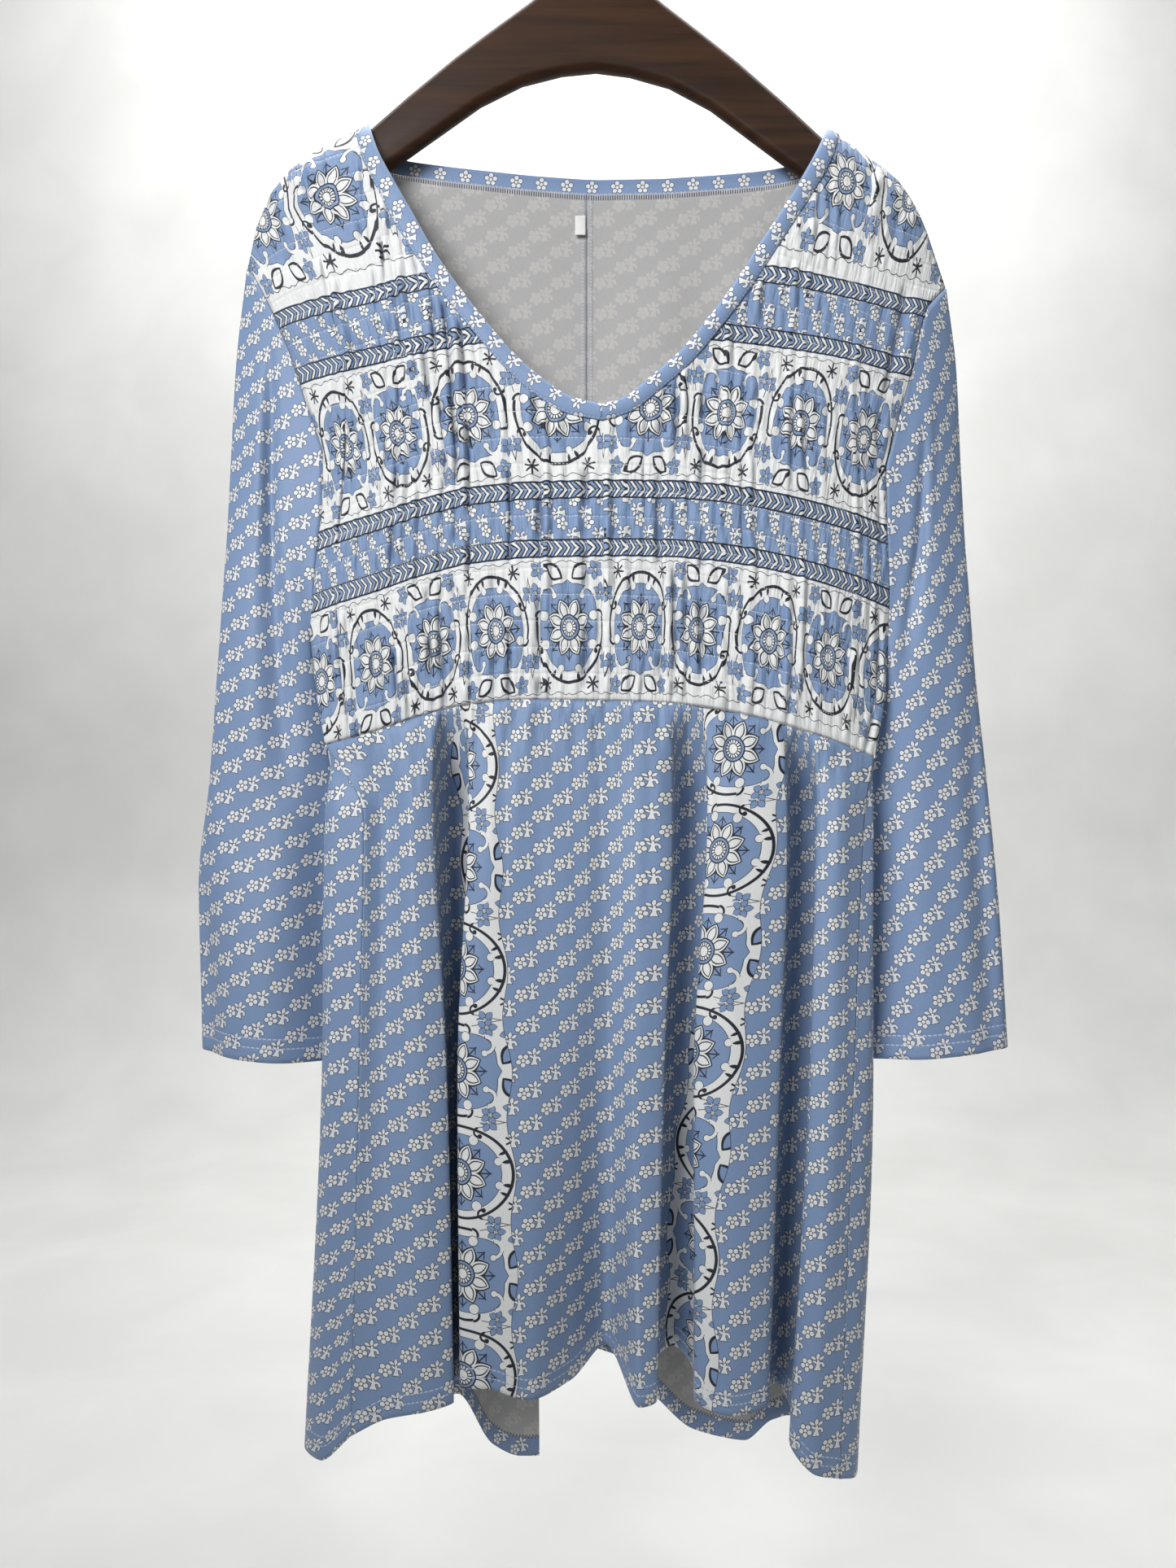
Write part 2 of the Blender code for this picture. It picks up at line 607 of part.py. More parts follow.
def back_points(side):
    """One back panel from the shoulder and neck to the hem, out to the side seam on the front."""
    sign = SIDES[side]
    share, top, _ = back_columns(side)
    upper = [back_row(side, share, top, row) for row in BODICE_ROWS[:-1]]
    levels = [back_row(side, share, top, 1)]
    folds = BACK_FOLDS[side]
    at = np.linspace(0, len(folds) - 1, BACK_COLUMNS + 1)
    knots = np.arange(len(folds))
    for name, height in (("hip", HIP), ("thigh", THIGH), ("hem", None)):
        x = column(folds, name + "_x")
        y = column(folds, name + "_y")
        z = column(folds, "hem_height") if height is None else np.full(len(folds), height)
        levels.append(smooth(knots, np.stack([x, y, z], axis=-1), at))
    lower = smooth(LOWER_PLACES, levels, np.array(SKIRT_ROWS) * LOWER_PLACES[-1])
    lower[:, -1, 0] += sign * SIDE_SEAM_GAP
    points = np.concatenate([np.array(upper), lower])
    points[:, 0, 0] += sign * HALF_SEAM
    return points


def armhole_point(side, height, face):
    """A point of the armhole seam on the front or the back, moved off the body onto the sleeve."""
    step = 2 * MM
    above = edge(side, height + step, "across")
    below = edge(side, height - step, "across")
    slope = math.atan2(above - below, 2 * step)
    near_underarm = np.clip((seam_height(side, UNDERARM_ROW) + 30 * MM - height) / (30 * MM), 0, 1)
    gap = SLEEVE_GAP + (UNDERARM_GAP - SLEEVE_GAP) * near_underarm
    x = SIDES[side] * (edge(side, height, "across") + gap * math.cos(slope))
    z = height - gap * math.sin(slope)
    return np.array([x, edge(side, height, face), z])


def half_turn(angle):
    """How far round from the inner side a place is, from 0 to 1 at the outer side and back to 0."""
    return 1 - abs(angle - math.pi) / math.pi


def face_of(angle):
    """The face of the garment that an angle round a sleeve lies on."""
    return "front" if angle <= math.pi else "back"


def sleeve_cap(side, angles):
    """The sleeve's first row, along the top of the armhole seam from its front to its back."""
    top = seam_height(side, 0)
    low = seam_height(side, CAP_ROW)
    return np.array([
        armhole_point(side, low + (top - low) * half_turn(angle), face_of(angle)) for angle in angles
    ])


def sleeve_fold_depth(side, angle, height):
    """How far the folds press a sleeve's wall in at an angle and height."""
    depth = 0.0
    for fold in SLEEVE_FOLDS[side]:
        along = (fold.top * MM - height) / ((fold.top - fold.bottom) * MM)
        if not 0 < along < 1:
            continue
        centre = fold.top_angle + (fold.bottom_angle - fold.top_angle) * along
        away = (math.degrees(angle) - centre) / fold.width
        depth += fold.depth * MM * math.sin(math.pi * along) * math.exp(-away * away)
    return depth


def sleeve_ring_points(side, ring, angles):
    """One ring of a sleeve, open at the armhole above the underarm and closed below it."""
    sign = SIDES[side]
    inner_height = ring.inner_height * MM
    underarm = seam_height(side, UNDERARM_ROW)
    is_open = inner_height > underarm + MM
    points = []
    for angle in angles:
        inward = 1 - half_turn(angle) if is_open else (1 + math.cos(angle)) / 2
        if inner_height > underarm - MM:
            inner = armhole_point(side, max(inner_height, underarm), face_of(angle))
        else:
            inner = np.array([sign * ring.inner_across, ring.inner_y, ring.inner_height]) * MM
        outer = np.array([sign * ring.outer_across, ring.outer_y, ring.outer_height]) * MM
        point = outer + (inner - outer) * inward
        if is_open:
            point[0] = inner[0] + (outer[0] - inner[0]) * half_turn(angle) ** SLEEVE_REACH
            point[2] = inner[2] + (outer[2] - inner[2]) * half_turn(angle) ** SLEEVE_RISE
        swell = -ring.front_swell if angle <= math.pi else ring.back_swell
        fullness = INNER_FULLNESS if math.cos(angle) > 0 else OUTER_FULLNESS
        point[1] += swell * MM * abs(math.sin(angle)) ** fullness
        points.append(point)
    return np.array(points)


def sleeve_points(side):
    """A sleeve from the armhole to its hem. Its two long edges meet below the underarm."""
    angles = np.linspace(0, 2 * math.pi, SLEEVE_COLUMNS + 1)
    rings = [sleeve_cap(side, angles)]
    rings += [sleeve_ring_points(side, ring, angles) for ring in SLEEVE_RINGS[side]]
    cap = seam_height(side, CAP_ROW)
    underarm = seam_height(side, UNDERARM_ROW)
    hem = SLEEVE_RINGS[side][-1].inner_height * MM
    heights = [cap] + [ring.inner_height * MM for ring in SLEEVE_RINGS[side]]
    seam_rows = [row for row in BODICE_ROWS if CAP_ROW <= row <= UNDERARM_ROW]
    row_heights = [seam_height(side, row) for row in seam_rows]
    row_heights += [underarm + (hem - underarm) * share for share in SLEEVE_LOWER_ROWS]
    points = smooth(cap - np.array(heights), rings, cap - np.array(row_heights))
    for row, height in enumerate(row_heights):
        if 0 < row < len(seam_rows):
            for corner, face in ((0, "front"), (-1, "back")):
                shift = armhole_point(side, height, face) - points[row, corner]
                reach = np.clip(1 - np.abs(angles - angles[corner]) / SEAM_PULL, 0, 1)
                points[row] += shift * reach[:, None]
        for number, angle in enumerate(angles):
            pressed = sleeve_fold_depth(side, angle, points[row, number, 2])
            points[row, number, 1] += pressed if angle <= math.pi else -pressed
        if row >= len(seam_rows) - 1:
            points[row, -1] = points[row, 0]
    return points


def binding_points(outer, inner, depth_of):
    """A narrow strip between two edges that have their steps in common."""
    toward = (inner - outer) / np.linalg.norm(inner - outer, axis=1, keepdims=True)
    outer = outer + toward * 2 * HALF_SEAM
    strips = []
    for share in (0, 0.5, 1):
        flat = outer + (inner - outer) * share
        y = depth_of(flat[:, 0], flat[:, 1])
        strips.append(np.stack([flat[:, 0], y, flat[:, 1]], axis=-1))
    return np.array(strips)


def front_binding(side):
    """Half of the front neck binding, from the shoulder to the mitre at the V."""
    sign = SIDES[side]
    across, top, _ = gathers()
    half = slice(GATHERS, None, sign)
    corner = neck_corner(side, np.abs(across[half]))
    outer = top[half][corner::-1]
    curve = neck_curve(FRONT_NECK[side], "inner_across", "inner_height", sign)
    fine = neck_curve(FRONT_NECK[side], "outer_across", "outer_height", sign)
    places = np.interp(-sign * outer[:, 0], -sign * fine[:, 0], np.linspace(0, 1, len(fine)))
    inner = read_curve(curve, places)
    points = binding_points(outer, inner, lambda x, z: np.minimum(front_y(x, z), -BINDING_HALF_GAP))
    points[:, -1, 0] += sign * HALF_SEAM
    return points


def back_binding():
    """The back neck binding, from the left shoulder to the right one."""
    outer = []
    for side in SIDES:
        _, top, corner = back_columns(side)
        outer.append(top[:corner + 1])
    outer = np.concatenate([outer[0][::-1], outer[1][1:]])
    outer_curve = neck_curve(BACK_NECK, "outer_x", "outer_height", 1)
    inner_curve = neck_curve(BACK_NECK, "inner_x", "inner_height", 1)
    places = np.interp(outer[:, 0], outer_curve[:, 0], np.linspace(0, 1, len(outer_curve)))
    inner = read_curve(inner_curve, places)
    return binding_points(outer, inner, lambda x, z: np.maximum(back_y(x, z), BINDING_HALF_GAP))


def label_points():
    """The size tab, just in front of the left back panel by the centre seam."""
    stand_off = (CLOTH_WALL + LABEL_WALL) / 2 + SEAM_GAP
    corners = []
    for z in (LABEL_TOP, LABEL_TOP - LABEL_HEIGHT):
        row = [(x, float(back_y(x, z)) - stand_off, z) for x in (LABEL_LEFT, LABEL_RIGHT)]
        corners.append(row)
    return np.array(corners)


def make_material(name, colour, roughness, metallic=0.0):
    """A plain surface of one colour."""
    material = bpy.data.materials.new(name)
    material.use_nodes = True
    surface = material.node_tree.nodes["Principled BSDF"]
    surface.inputs["Base Color"].default_value = (*colour, 1)
    surface.inputs["Roughness"].default_value = roughness
    surface.inputs["Metallic"].default_value = metallic
    return material


def add_sheet(name, points, wall, material, collection):
    """A sheet of cloth: a grid moved onto the points, made solid by a Solidify modifier."""
    rows, columns = points.shape[:2]
    shape = bmesh.new()
    bmesh.ops.create_grid(shape, x_segments=columns - 1, y_segments=rows - 1, size=1)
    for vertex, place in zip(shape.verts, points.reshape(-1, 3)):
        vertex.co = place
    bmesh.ops.remove_doubles(shape, verts=shape.verts, dist=0.01 * MM)
    mesh = bpy.data.meshes.new(name)
    shape.to_mesh(mesh)
    shape.free()
    mesh.shade_smooth()
    mesh.materials.append(material)
    sheet = bpy.data.objects.new(name, mesh)
    collection.objects.link(sheet)
    solidify = sheet.modifiers.new("wall", "SOLIDIFY")
    solidify.thickness = wall
    solidify.offset = 0
    return sheet


def poly_curve(name, points, closed, dimensions):
    """A curve object's data with one straight-edged spline through the points."""
    curve = bpy.data.curves.new(name, "CURVE")
    curve.dimensions = dimensions
    spline = curve.splines.new("POLY")
    spline.points.add(len(points) - 1)
    for target, place in zip(spline.points, points):
        target.co = (*place, 1)
    spline.use_cyclic_u = closed
    return curve


def add_hanger(material, collection):
    """The wooden body: one flat outline with rounded edges, tilted about the hook's hold point."""
    top = [(row.across * MM, row.height * MM) for row in HANGER_TOP]
    below = [(row.across * MM, row.height * MM) for row in HANGER_UNDERSIDE]
    half = top + below
    mirrored = [(-x, z) for x, z in reversed(half[1:-1])]
    outline = [(x, z, 0) for x, z in half + mirrored]
    curve = poly_curve("hanger_body", outline, True, "2D")
    curve.fill_mode = "BOTH"
    curve.extrude = HANGER_THICKNESS / 2 - HANGER_EDGE_ROUND
    curve.bevel_depth = HANGER_EDGE_ROUND
    curve.bevel_resolution = 1
    curve.offset = -HANGER_EDGE_ROUND
    curve.materials.append(material)
    body = bpy.data.objects.new("hanger_body", curve)
    body.rotation_euler = (math.pi / 2, HANGER_TILT, 0)
    body.rotation_mode = "XYZ"
    collection.objects.link(body)
    return body


def hook_points():
    """The hook's middle line: a stem, a swing to the right and a round loop open to the left."""
    centre = HOOK_WIRE / 2 - HOOK_LOOP_RADIUS
    crown = HANGER_TOP[0].height * MM
    points = [(0.0, crown + SEAM_GAP), (0.0, -64 * MM), (0.0, HOOK_STEM_TOP)]
    start = math.radians(-60)
    swing = (HOOK_LOOP_RADIUS * math.cos(start), centre + HOOK_LOOP_RADIUS * math.sin(start))
    points.append((swing[0] * 0.38, HOOK_STEM_TOP + (swing[1] - HOOK_STEM_TOP) * 0.55))
    steps = round((HOOK_END_ANGLE - start) / HOOK_STEP)
    for step in range(steps + 1):
        angle = start + (HOOK_END_ANGLE - start) * step / steps
        points.append((HOOK_LOOP_RADIUS * math.cos(angle), centre + HOOK_LOOP_RADIUS * math.sin(angle)))
    return points


def add_hook(material, collection):
    """The metal hook, a bent wire that stands on the hanger's crown."""
    curve = poly_curve("hanger_hook", [(x, 0, z) for x, z in hook_points()], False, "3D")
    curve.bevel_depth = HOOK_WIRE / 2
    curve.bevel_resolution = 2
    curve.use_fill_caps = True
    curve.materials.append(material)
    hook = bpy.data.objects.new("hanger_hook", curve)
    hook.rotation_euler = (0, HANGER_TILT, 0)
    collection.objects.link(hook)
    return hook


def clear_scene():
    """Removes whatever the file holds."""
    for thing in list(bpy.data.objects):
        bpy.data.objects.remove(thing, do_unlink=True)


def build():
    """Makes every piece of the blouse and its hanger."""
    clear_scene()
    collection = bpy.data.collections.new("v_neck_blouse")
    bpy.context.scene.collection.children.link(collection)
    border = make_material("border_print", (0.62, 0.66, 0.74), 0.5)
    sprig = make_material("sprig_print", (0.2, 0.32, 0.62), 0.5)
    inside = make_material("back_print", (0.26, 0.38, 0.66), 0.5)
    binding = make_material("binding_print", (0.24, 0.37, 0.66), 0.5)
    label = make_material("label_tape", (0.85, 0.85, 0.83), 0.7)
    walnut = make_material("walnut", (0.07, 0.025, 0.012), 0.35)
    steel = make_material("hook_steel", (0.6, 0.6, 0.6), 0.25, 1.0)
    add_sheet("bodice_front", bodice_points(), CLOTH_WALL, border, collection)
    add_sheet("skirt_front", skirt_points(), CLOTH_WALL, sprig, collection)
    for side in SIDES:
        add_sheet("back_" + side, back_points(side), CLOTH_WALL, inside, collection)
        add_sheet("sleeve_" + side, sleeve_points(side), CLOTH_WALL, sprig, collection)
        add_sheet("neck_binding_" + side, front_binding(side), BINDING_WALL, binding, collection)
    add_sheet("neck_binding_back", back_binding(), BINDING_WALL, binding, collection)
    add_sheet("size_label", label_points(), LABEL_WALL, label, collection)
    add_hanger(walnut, collection)
    add_hook(steel, collection)


build()
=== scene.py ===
"""Looks of a V-neck tunic blouse with a shirred yoke, hanging on a dark wooden hanger.

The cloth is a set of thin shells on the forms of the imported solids. Tables are in millimetres and are
scaled by MM; everything else is in metres, with +Z up, +X to the viewer's right and the front facing -Y.
"""

from __future__ import annotations

import logging
import math
from dataclasses import dataclass, field
from enum import Enum
from typing import Callable, NamedTuple, Sequence

import bmesh
import bpy
import numpy as np
from mathutils import Matrix, Vector

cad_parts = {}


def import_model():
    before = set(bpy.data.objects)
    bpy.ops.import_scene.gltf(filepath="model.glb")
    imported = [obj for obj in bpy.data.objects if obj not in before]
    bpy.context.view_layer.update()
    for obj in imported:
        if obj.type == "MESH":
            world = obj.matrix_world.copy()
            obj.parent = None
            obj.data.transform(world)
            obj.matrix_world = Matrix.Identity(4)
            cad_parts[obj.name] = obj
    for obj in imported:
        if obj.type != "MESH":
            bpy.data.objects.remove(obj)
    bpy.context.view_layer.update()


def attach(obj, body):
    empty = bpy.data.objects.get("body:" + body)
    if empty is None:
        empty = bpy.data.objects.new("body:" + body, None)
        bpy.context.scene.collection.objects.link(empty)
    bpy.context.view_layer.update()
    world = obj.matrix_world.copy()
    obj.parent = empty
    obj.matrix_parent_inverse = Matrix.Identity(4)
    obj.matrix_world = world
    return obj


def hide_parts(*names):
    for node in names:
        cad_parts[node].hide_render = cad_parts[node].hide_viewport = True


LOG = logging.getLogger("blouse")
MM = 0.001

Array = np.ndarray
Colour = tuple[float, float, float]
Shape = bmesh.types.BMesh
Material = bpy.types.Material
NodeTree = bpy.types.NodeTree
Object = bpy.types.Object
Socket = bpy.types.NodeSocket


class Side(Enum):
    """The viewer's left or right, with the sign of X there."""

    LEFT = -1
    RIGHT = 1

    @property
    def word(self) -> str:
        """The side's name as it stands in a node's name."""
        return self.name.lower()


# Tables of the form


def rows(kind: type, *values: tuple) -> list:
    """Table rows of one kind from their plain values."""
    return [kind(*row) for row in values]


class PointRow(NamedTuple):
    """A point of an outline, with its distance from the centre line."""

    across: float
    height: float


SHOULDER = {
    Side.LEFT: rows(
        PointRow,
        (0, -78), (150, -189), (158, -192.7), (179, -203), (200, -216), (214.5, -234), (224, -257),
        (229.6, -283.3),
    ),
    Side.RIGHT: rows(
        PointRow,
        (0, -78), (149, -192), (156, -195.6), (173, -208.5), (184, -216.5), (195, -225.5), (204, -238),
        (212, -254), (226, -296),
    ),
}


class EdgeRow(NamedTuple):
    """A point of the armhole seam and the side seam below it, with its depth on both faces."""

    height: float
    across: float
    front: float
    back: float


SIDE_EDGE = {
    Side.LEFT: rows(
        EdgeRow,
        (-283.3, 229.6, -0.7, 0.7), (-291, 223.5, -6, 6), (-301, 218, -9, 8), (-328, 204, -12, 11),
        (-363, 193, -14, 13), (-394, 180, -14, 13), (-412, 176, -14, 12), (-456, 179.5, -13, 9),
        (-498, 186, -10.5, 0), (-520, 187, -9, -9), (-553, 183.5, -12, -12), (-571, 180.5, -15, -15),
        (-595, 175, -20, -20),
    ),
    Side.RIGHT: rows(
        EdgeRow,
        (-296, 226, -0.7, 0.7), (-303, 219, -6, 6), (-311, 212, -9, 8), (-330, 206, -12, 11),
        (-366, 199, -14, 13), (-394, 188.5, -14, 13), (-412, 184, -14, 12), (-456, 184.5, -13, 9),
        (-498, 187.5, -11, 2), (-529, 186.5, -9, -9), (-571, 183, -15, -15), (-603, 175.5, -20, -20),
    ),
}


class NeckRow(NamedTuple):
    """A step along a neck binding's edges: distance from the centre line, or x at the back, and height."""

    outer: float
    outer_height: float
    inner: float
    inner_height: float


FRONT_NECK = {
    Side.LEFT: rows(
        NeckRow,
        (158, -192.7, 150.5, -189), (152, -217, 142, -214), (141.5, -239, 131.5, -234.5),
        (130.6, -261, 119.5, -256), (114.6, -287, 105.5, -281.5), (96, -313, 88.5, -306.5),
        (76, -338, 70, -330.5), (60, -356.5, 55, -348), (42, -373, 38, -363.5), (20, -386.5, 18, -376.5),
        (-1.6, -391, -1.6, -381.5),
    ),
    Side.RIGHT: rows(
        NeckRow,
        (156, -195.6, 149, -192), (149, -217, 140, -212.5), (138, -238, 129, -233),
        (124.5, -260, 116, -255), (108.5, -285, 100, -280), (92, -310, 84.5, -304.5),
        (75.5, -332, 68.5, -326), (57, -354, 51, -347), (38, -371, 33, -363), (18, -386, 15, -377),
        (1.6, -391, 1.6, -381.5),
    ),
}


BACK_NECK = rows(
    NeckRow,
    (-158, -192.7, -150.5, -189), (-153, -206, -145, -199), (-139, -214, -134.5, -204.5),
    (-107, -218.5, -105, -208.5), (-75, -221.5, -74, -211.5), (-37, -224.5, -37, -214.5),
    (0, -226, 0, -216), (37, -226, 37, -216), (63, -225, 62, -215), (91, -223.5, 90, -213.5),
    (119, -221, 116, -211), (142, -215, 136, -206), (151.5, -207, 144, -200.5), (156, -195.6, 149, -192),
)


class WaistRow(NamedTuple):
    """A point of the high waist seam."""

    x: float
    height: float


WAIST_SEAM = rows(
    WaistRow,
    (-175, -595), (-148, -588.5), (-106, -575.5), (-80, -569.5), (-45, -567), (0, -567.5), (42, -569),
    (73, -573), (104, -579.5), (135, -588.5), (157, -596), (175.5, -603),
)


class FoldLine(NamedTuple):
    """A line down the skirt front, from the left side seam to the right one."""

    name: str
    seam_x: float
    hip_x: float
    hip_y: float
    thigh_x: float
    thigh_y: float
    hem_x: float
    hem_y: float
    hem_height: float


FRONT_FOLDS = rows(
    FoldLine,
    ("left side seam", -175, -148.5, -32, -151.5, -31, -156.5, -30, -1031),
    ("left soft hollow", -150, -135, -25, -138, -27, -132, -36, -1017),
    ("left crest", -122, -117, -38, -113, -39, -108, -40, -1011),
    ("left lobe edge", -106, -104.5, -33, -96.5, -33, -92, -34, -1008),
    ("first valley, left wall", -100, -104.5, -12, -100, -12, -97.5, -10, -1008),
    ("first valley, floor", -94, -96, 6, -96.5, 8, -96, 10, -1014),
    ("first valley, right wall", -87, -80.5, -8, -86, -10, -86.5, -10, -1006),
    ("centre lobe, left edge", -81, -82, -33, -89, -33, -87.5, -34, -999),
    ("centre lobe, crest", -68, -69.5, -38, -74.5, -40, -70, -42, -996.5),
    ("centre lobe, flat", -44, -44.5, -36, -44, -38, -44, -40, -1004),
    ("centre hollow, left side", -19, -19, -33, -19, -32, -19, -20, -1001),
    ("centre hollow", 4, 4, -30, 4.5, -22, 4.5, 4, -988),
    ("narrow crest", 27, 27, -35, 24.5, -36, 24.5, -38, -1009),
    ("narrow crest, right edge", 44, 45.5, -30, 40.5, -31, 35.5, -34, -1007),
    ("second valley, left wall", 50, 47.5, -12, 41, -10, 36.5, -8, -996),
    ("second valley, floor", 56, 59.5, 4, 53.5, 6, 49, 10, -992),
    ("second valley, right wall", 62, 72, -10, 65, -8, 61, -8, -1000),
    ("right lobe, left edge", 68, 68, -32, 59.5, -32, 60, -32, -1008),
    ("right lobe, crest", 88, 86, -38, 83, -41, 82, -44, -1012),
    ("right lobe, right edge", 114, 117.5, -32, 113, -33, 105.5, -34, -1010),
    ("third valley, left wall", 119.5, 121, -12, 116, -10, 108.5, -10, -1012),
    ("third valley, floor", 125, 133, 4, 128, 6, 119.5, 10, -1018),
    ("third valley, right wall", 129, 142.5, -8, 139, -8, 125, -10, -1028),
    ("last lobe, left edge", 137.5, 137, -30, 132.5, -32, 119.5, -32, -1034),
    ("last lobe, crest", 152, 149, -36, 145, -39, 133, -42, -1049),
    ("right side seam", 175.5, 168, -26, 160, -32, 150.5, -36, -1055),
)


class BackFold(NamedTuple):
    """A line down the back, from the centre back seam round to a side seam on the front."""

    hip_x: float
    hip_y: float
    thigh_x: float
    thigh_y: float
    hem_x: float
    hem_y: float
    hem_height: float


BACK_FOLDS = {
    Side.LEFT: rows(
        BackFold,
        (-6.5, 30, -6, 42, -5, 60, -1014), (-22, 30, -26, 44, -27, 64, -1034),
        (-34, 29.5, -42, 42, -49, 59, -1060), (-42, 29, -43, 37, -41.5, 48.5, -1085),
        (-56, 28, -55, 34, -54, 44, -1083), (-72, 27, -72, 32, -73, 37, -1070),
        (-90, 25, -92, 23, -95, 20, -1028), (-112, 23, -114, 20, -119, 17, -1032),
        (-137, 16, -140, 18, -149, 22, -1046), (-160, 1, -163, 3, -177, 10, -1047),
        (-175.4, -17, -177.8, -14, -190.5, -7, -1048), (-167, -29, -168, -28, -177, -25, -1049),
        (-148.5, -32, -151.5, -31, -156.5, -30, -1031),
    ),
    Side.RIGHT: rows(
        BackFold,
        (-6.5, 30, -6, 42, -5, 60, -1014), (16, 30, 18, 38, 20, 50, -1019),
        (36, 29, 38, 31, 39, 32, -1036), (58, 28, 61, 32, 63, 39, -1061),
        (78, 27, 81, 34, 84, 45, -1070), (97, 25, 99, 34, 101, 48, -1074),
        (115, 22, 117, 29, 119, 40, -1056), (134, 17, 134, 22, 134, 32, -1050),
        (150, 9, 151, 12, 151, 18, -1053), (163, -3, 165, -1, 160.5, 4, -1055),
        (174.2, -15, 175.5, -14, 165.5, -12, -1057), (174, -22, 171, -26, 161.5, -27, -1058),
        (168, -26, 160, -32, 150.5, -36, -1055),
    ),
}


class SleeveRing(NamedTuple):
    """A ring round a sleeve. Above the underarm its inner side is the armhole seam itself."""

    inner_height: float
    inner_across: float
    inner_y: float
    outer_height: float
    outer_across: float
    outer_y: float
    front_swell: float
    back_swell: float


SLEEVE_RINGS = {
    Side.LEFT: rows(
        SleeveRing,
        (-394, 180, 0, -345, 238, 3, 4, 4), (-456, 179.5, 0, -408, 242, 5, 6, 10),
        (-520, 187, -9, -480, 246.5, 7, 10, 22), (-575, 182, 1, -545, 251.5, 9, 15, 24),
        (-640, 174, 8, -620, 258, 13, 19, 24), (-720, 172, 9, -690, 266, 18, 27, 24),
        (-801, 171, 8, -795, 264, 22, 34, 22),
    ),
    Side.RIGHT: rows(
        SleeveRing,
        (-394, 188.5, 0, -349, 234, 3, 4, 4), (-456, 184.5, 0, -412, 237.5, 5, 6, 10),
        (-529, 186.5, -9, -480, 242, 7, 10, 22), (-575, 182, 0, -545, 247, 8, 16, 24),
        (-640, 174, 8, -620, 255, 8, 18, 26), (-720, 172, 9, -705, 262.5, 7, 22, 28),
        (-800, 171, 8, -791, 267, 5, 26, 30),
    ),
}


SLEEVE_PRINT_TURN = {Side.LEFT: -9.0, Side.RIGHT: 16.0}


class SleeveFold(NamedTuple):
    """A hollow pressed into a sleeve. Angles run from the inner side, over the front, outward."""

    top: float
    bottom: float
    top_angle: float
    bottom_angle: float
    width: float
    depth: float


SLEEVE_FOLDS = {
    Side.LEFT: rows(
        SleeveFold,
        (-330, -640, 84, 74, 15, 9), (-600, -860, 40, 48, 22, 6), (-640, -860, 150, 138, 16, 7),
        (-420, -860, 255, 262, 24, 8),
    ),
    Side.RIGHT: rows(
        SleeveFold,
        (-380, -560, 62, 58, 14, 5), (-540, -860, 138, 134, 16, 6), (-560, -860, 45, 52, 20, 5),
        (-420, -860, 250, 262, 24, 8),
    ),
}


HANGER_TOP = rows(
    PointRow,
    (0, -72), (14, -72.5), (19, -77), (22, -88), (31, -100), (46, -112), (70, -130), (92, -147),
    (123, -173.5), (155, -202.5), (170, -213.5), (185, -224), (194, -232), (199, -241),
)
HANGER_UNDERSIDE = rows(
    PointRow,
    (197, -248), (188, -251), (166, -240), (141, -226), (101, -197), (75, -178), (48, -164), (22, -157),
    (0, -154.5),
)


class PrintColumn(NamedTuple):
    """Where the yoke's medallions stand: their number across and their places in three bands."""

    number: float
    low_x: float
    middle_x: float
    high_x: float


PRINT_COLUMNS = rows(
    PrintColumn,
    (-3.5, -141, -161, -220), (-2.5, -104, -128, -176), (-1.5, -65, -83.5, -104), (-0.5, -19, -28, -36),
    (0.5, 25, 32, 40), (1.5, 61, 80, 106), (2.5, 106, 127, 159), (3.5, 144, 168, 202),
)


# Working out the form


def column(table: Sequence[NamedTuple], name: str) -> Array:
    """One named column of a table, in metres."""
    return np.array([getattr(row, name) for row in table], dtype=float) * MM


def joined(*parts: Array) -> Array:
    """Points from their coordinates."""
    return np.stack(parts, axis=-1)


def smooth(knots: Array, values: Array, at: Array) -> Array:
    """Reads a cubic curve that turns only at its own values.

    Args:
        knots: Rising places of the values.
        values: One value or point for each knot.
        at: Places to read.

    Returns:
        One value or point for each place.
    """
    knots = np.asarray(knots, dtype=float)
    values = np.asarray(values, dtype=float)
    at = np.asarray(at, dtype=float)
    rises = np.diff(values, axis=0) / np.diff(knots).reshape((-1,) + (1,) * (values.ndim - 1))
    before, after = rises[:-1], rises[1:]
    same_way = before * after > 0
    total = np.where(same_way, before + after, 1.0)
    inner = np.where(same_way, 2 * before * after / total, 0.0)
    slopes = np.concatenate([rises[:1], inner, rises[-1:]])
    low = np.clip(np.searchsorted(knots, at, side="right") - 1, 0, len(knots) - 2)
    shape = at.shape + (1,) * (values.ndim - 1)
    span = (knots[low + 1] - knots[low]).reshape(shape)
    t = (at - knots[low]).reshape(shape) / span
    start = (1 + 2 * t) * (1 - t) ** 2 * values[low] + t * (1 - t) ** 2 * span * slopes[low]
    end = t * t * (3 - 2 * t) * values[low + 1] - t * t * (1 - t) * span * slopes[low + 1]
    return start + end


def lengths_along(points: Array) -> Array:
    """Distance from the first point along each line of points, on the last axis but one."""
    steps = np.linalg.norm(np.diff(points, axis=-2), axis=-1)
    start = np.zeros(steps.shape[:-1] + (1,))
    return np.concatenate([start, np.cumsum(steps, axis=-1)], axis=-1)


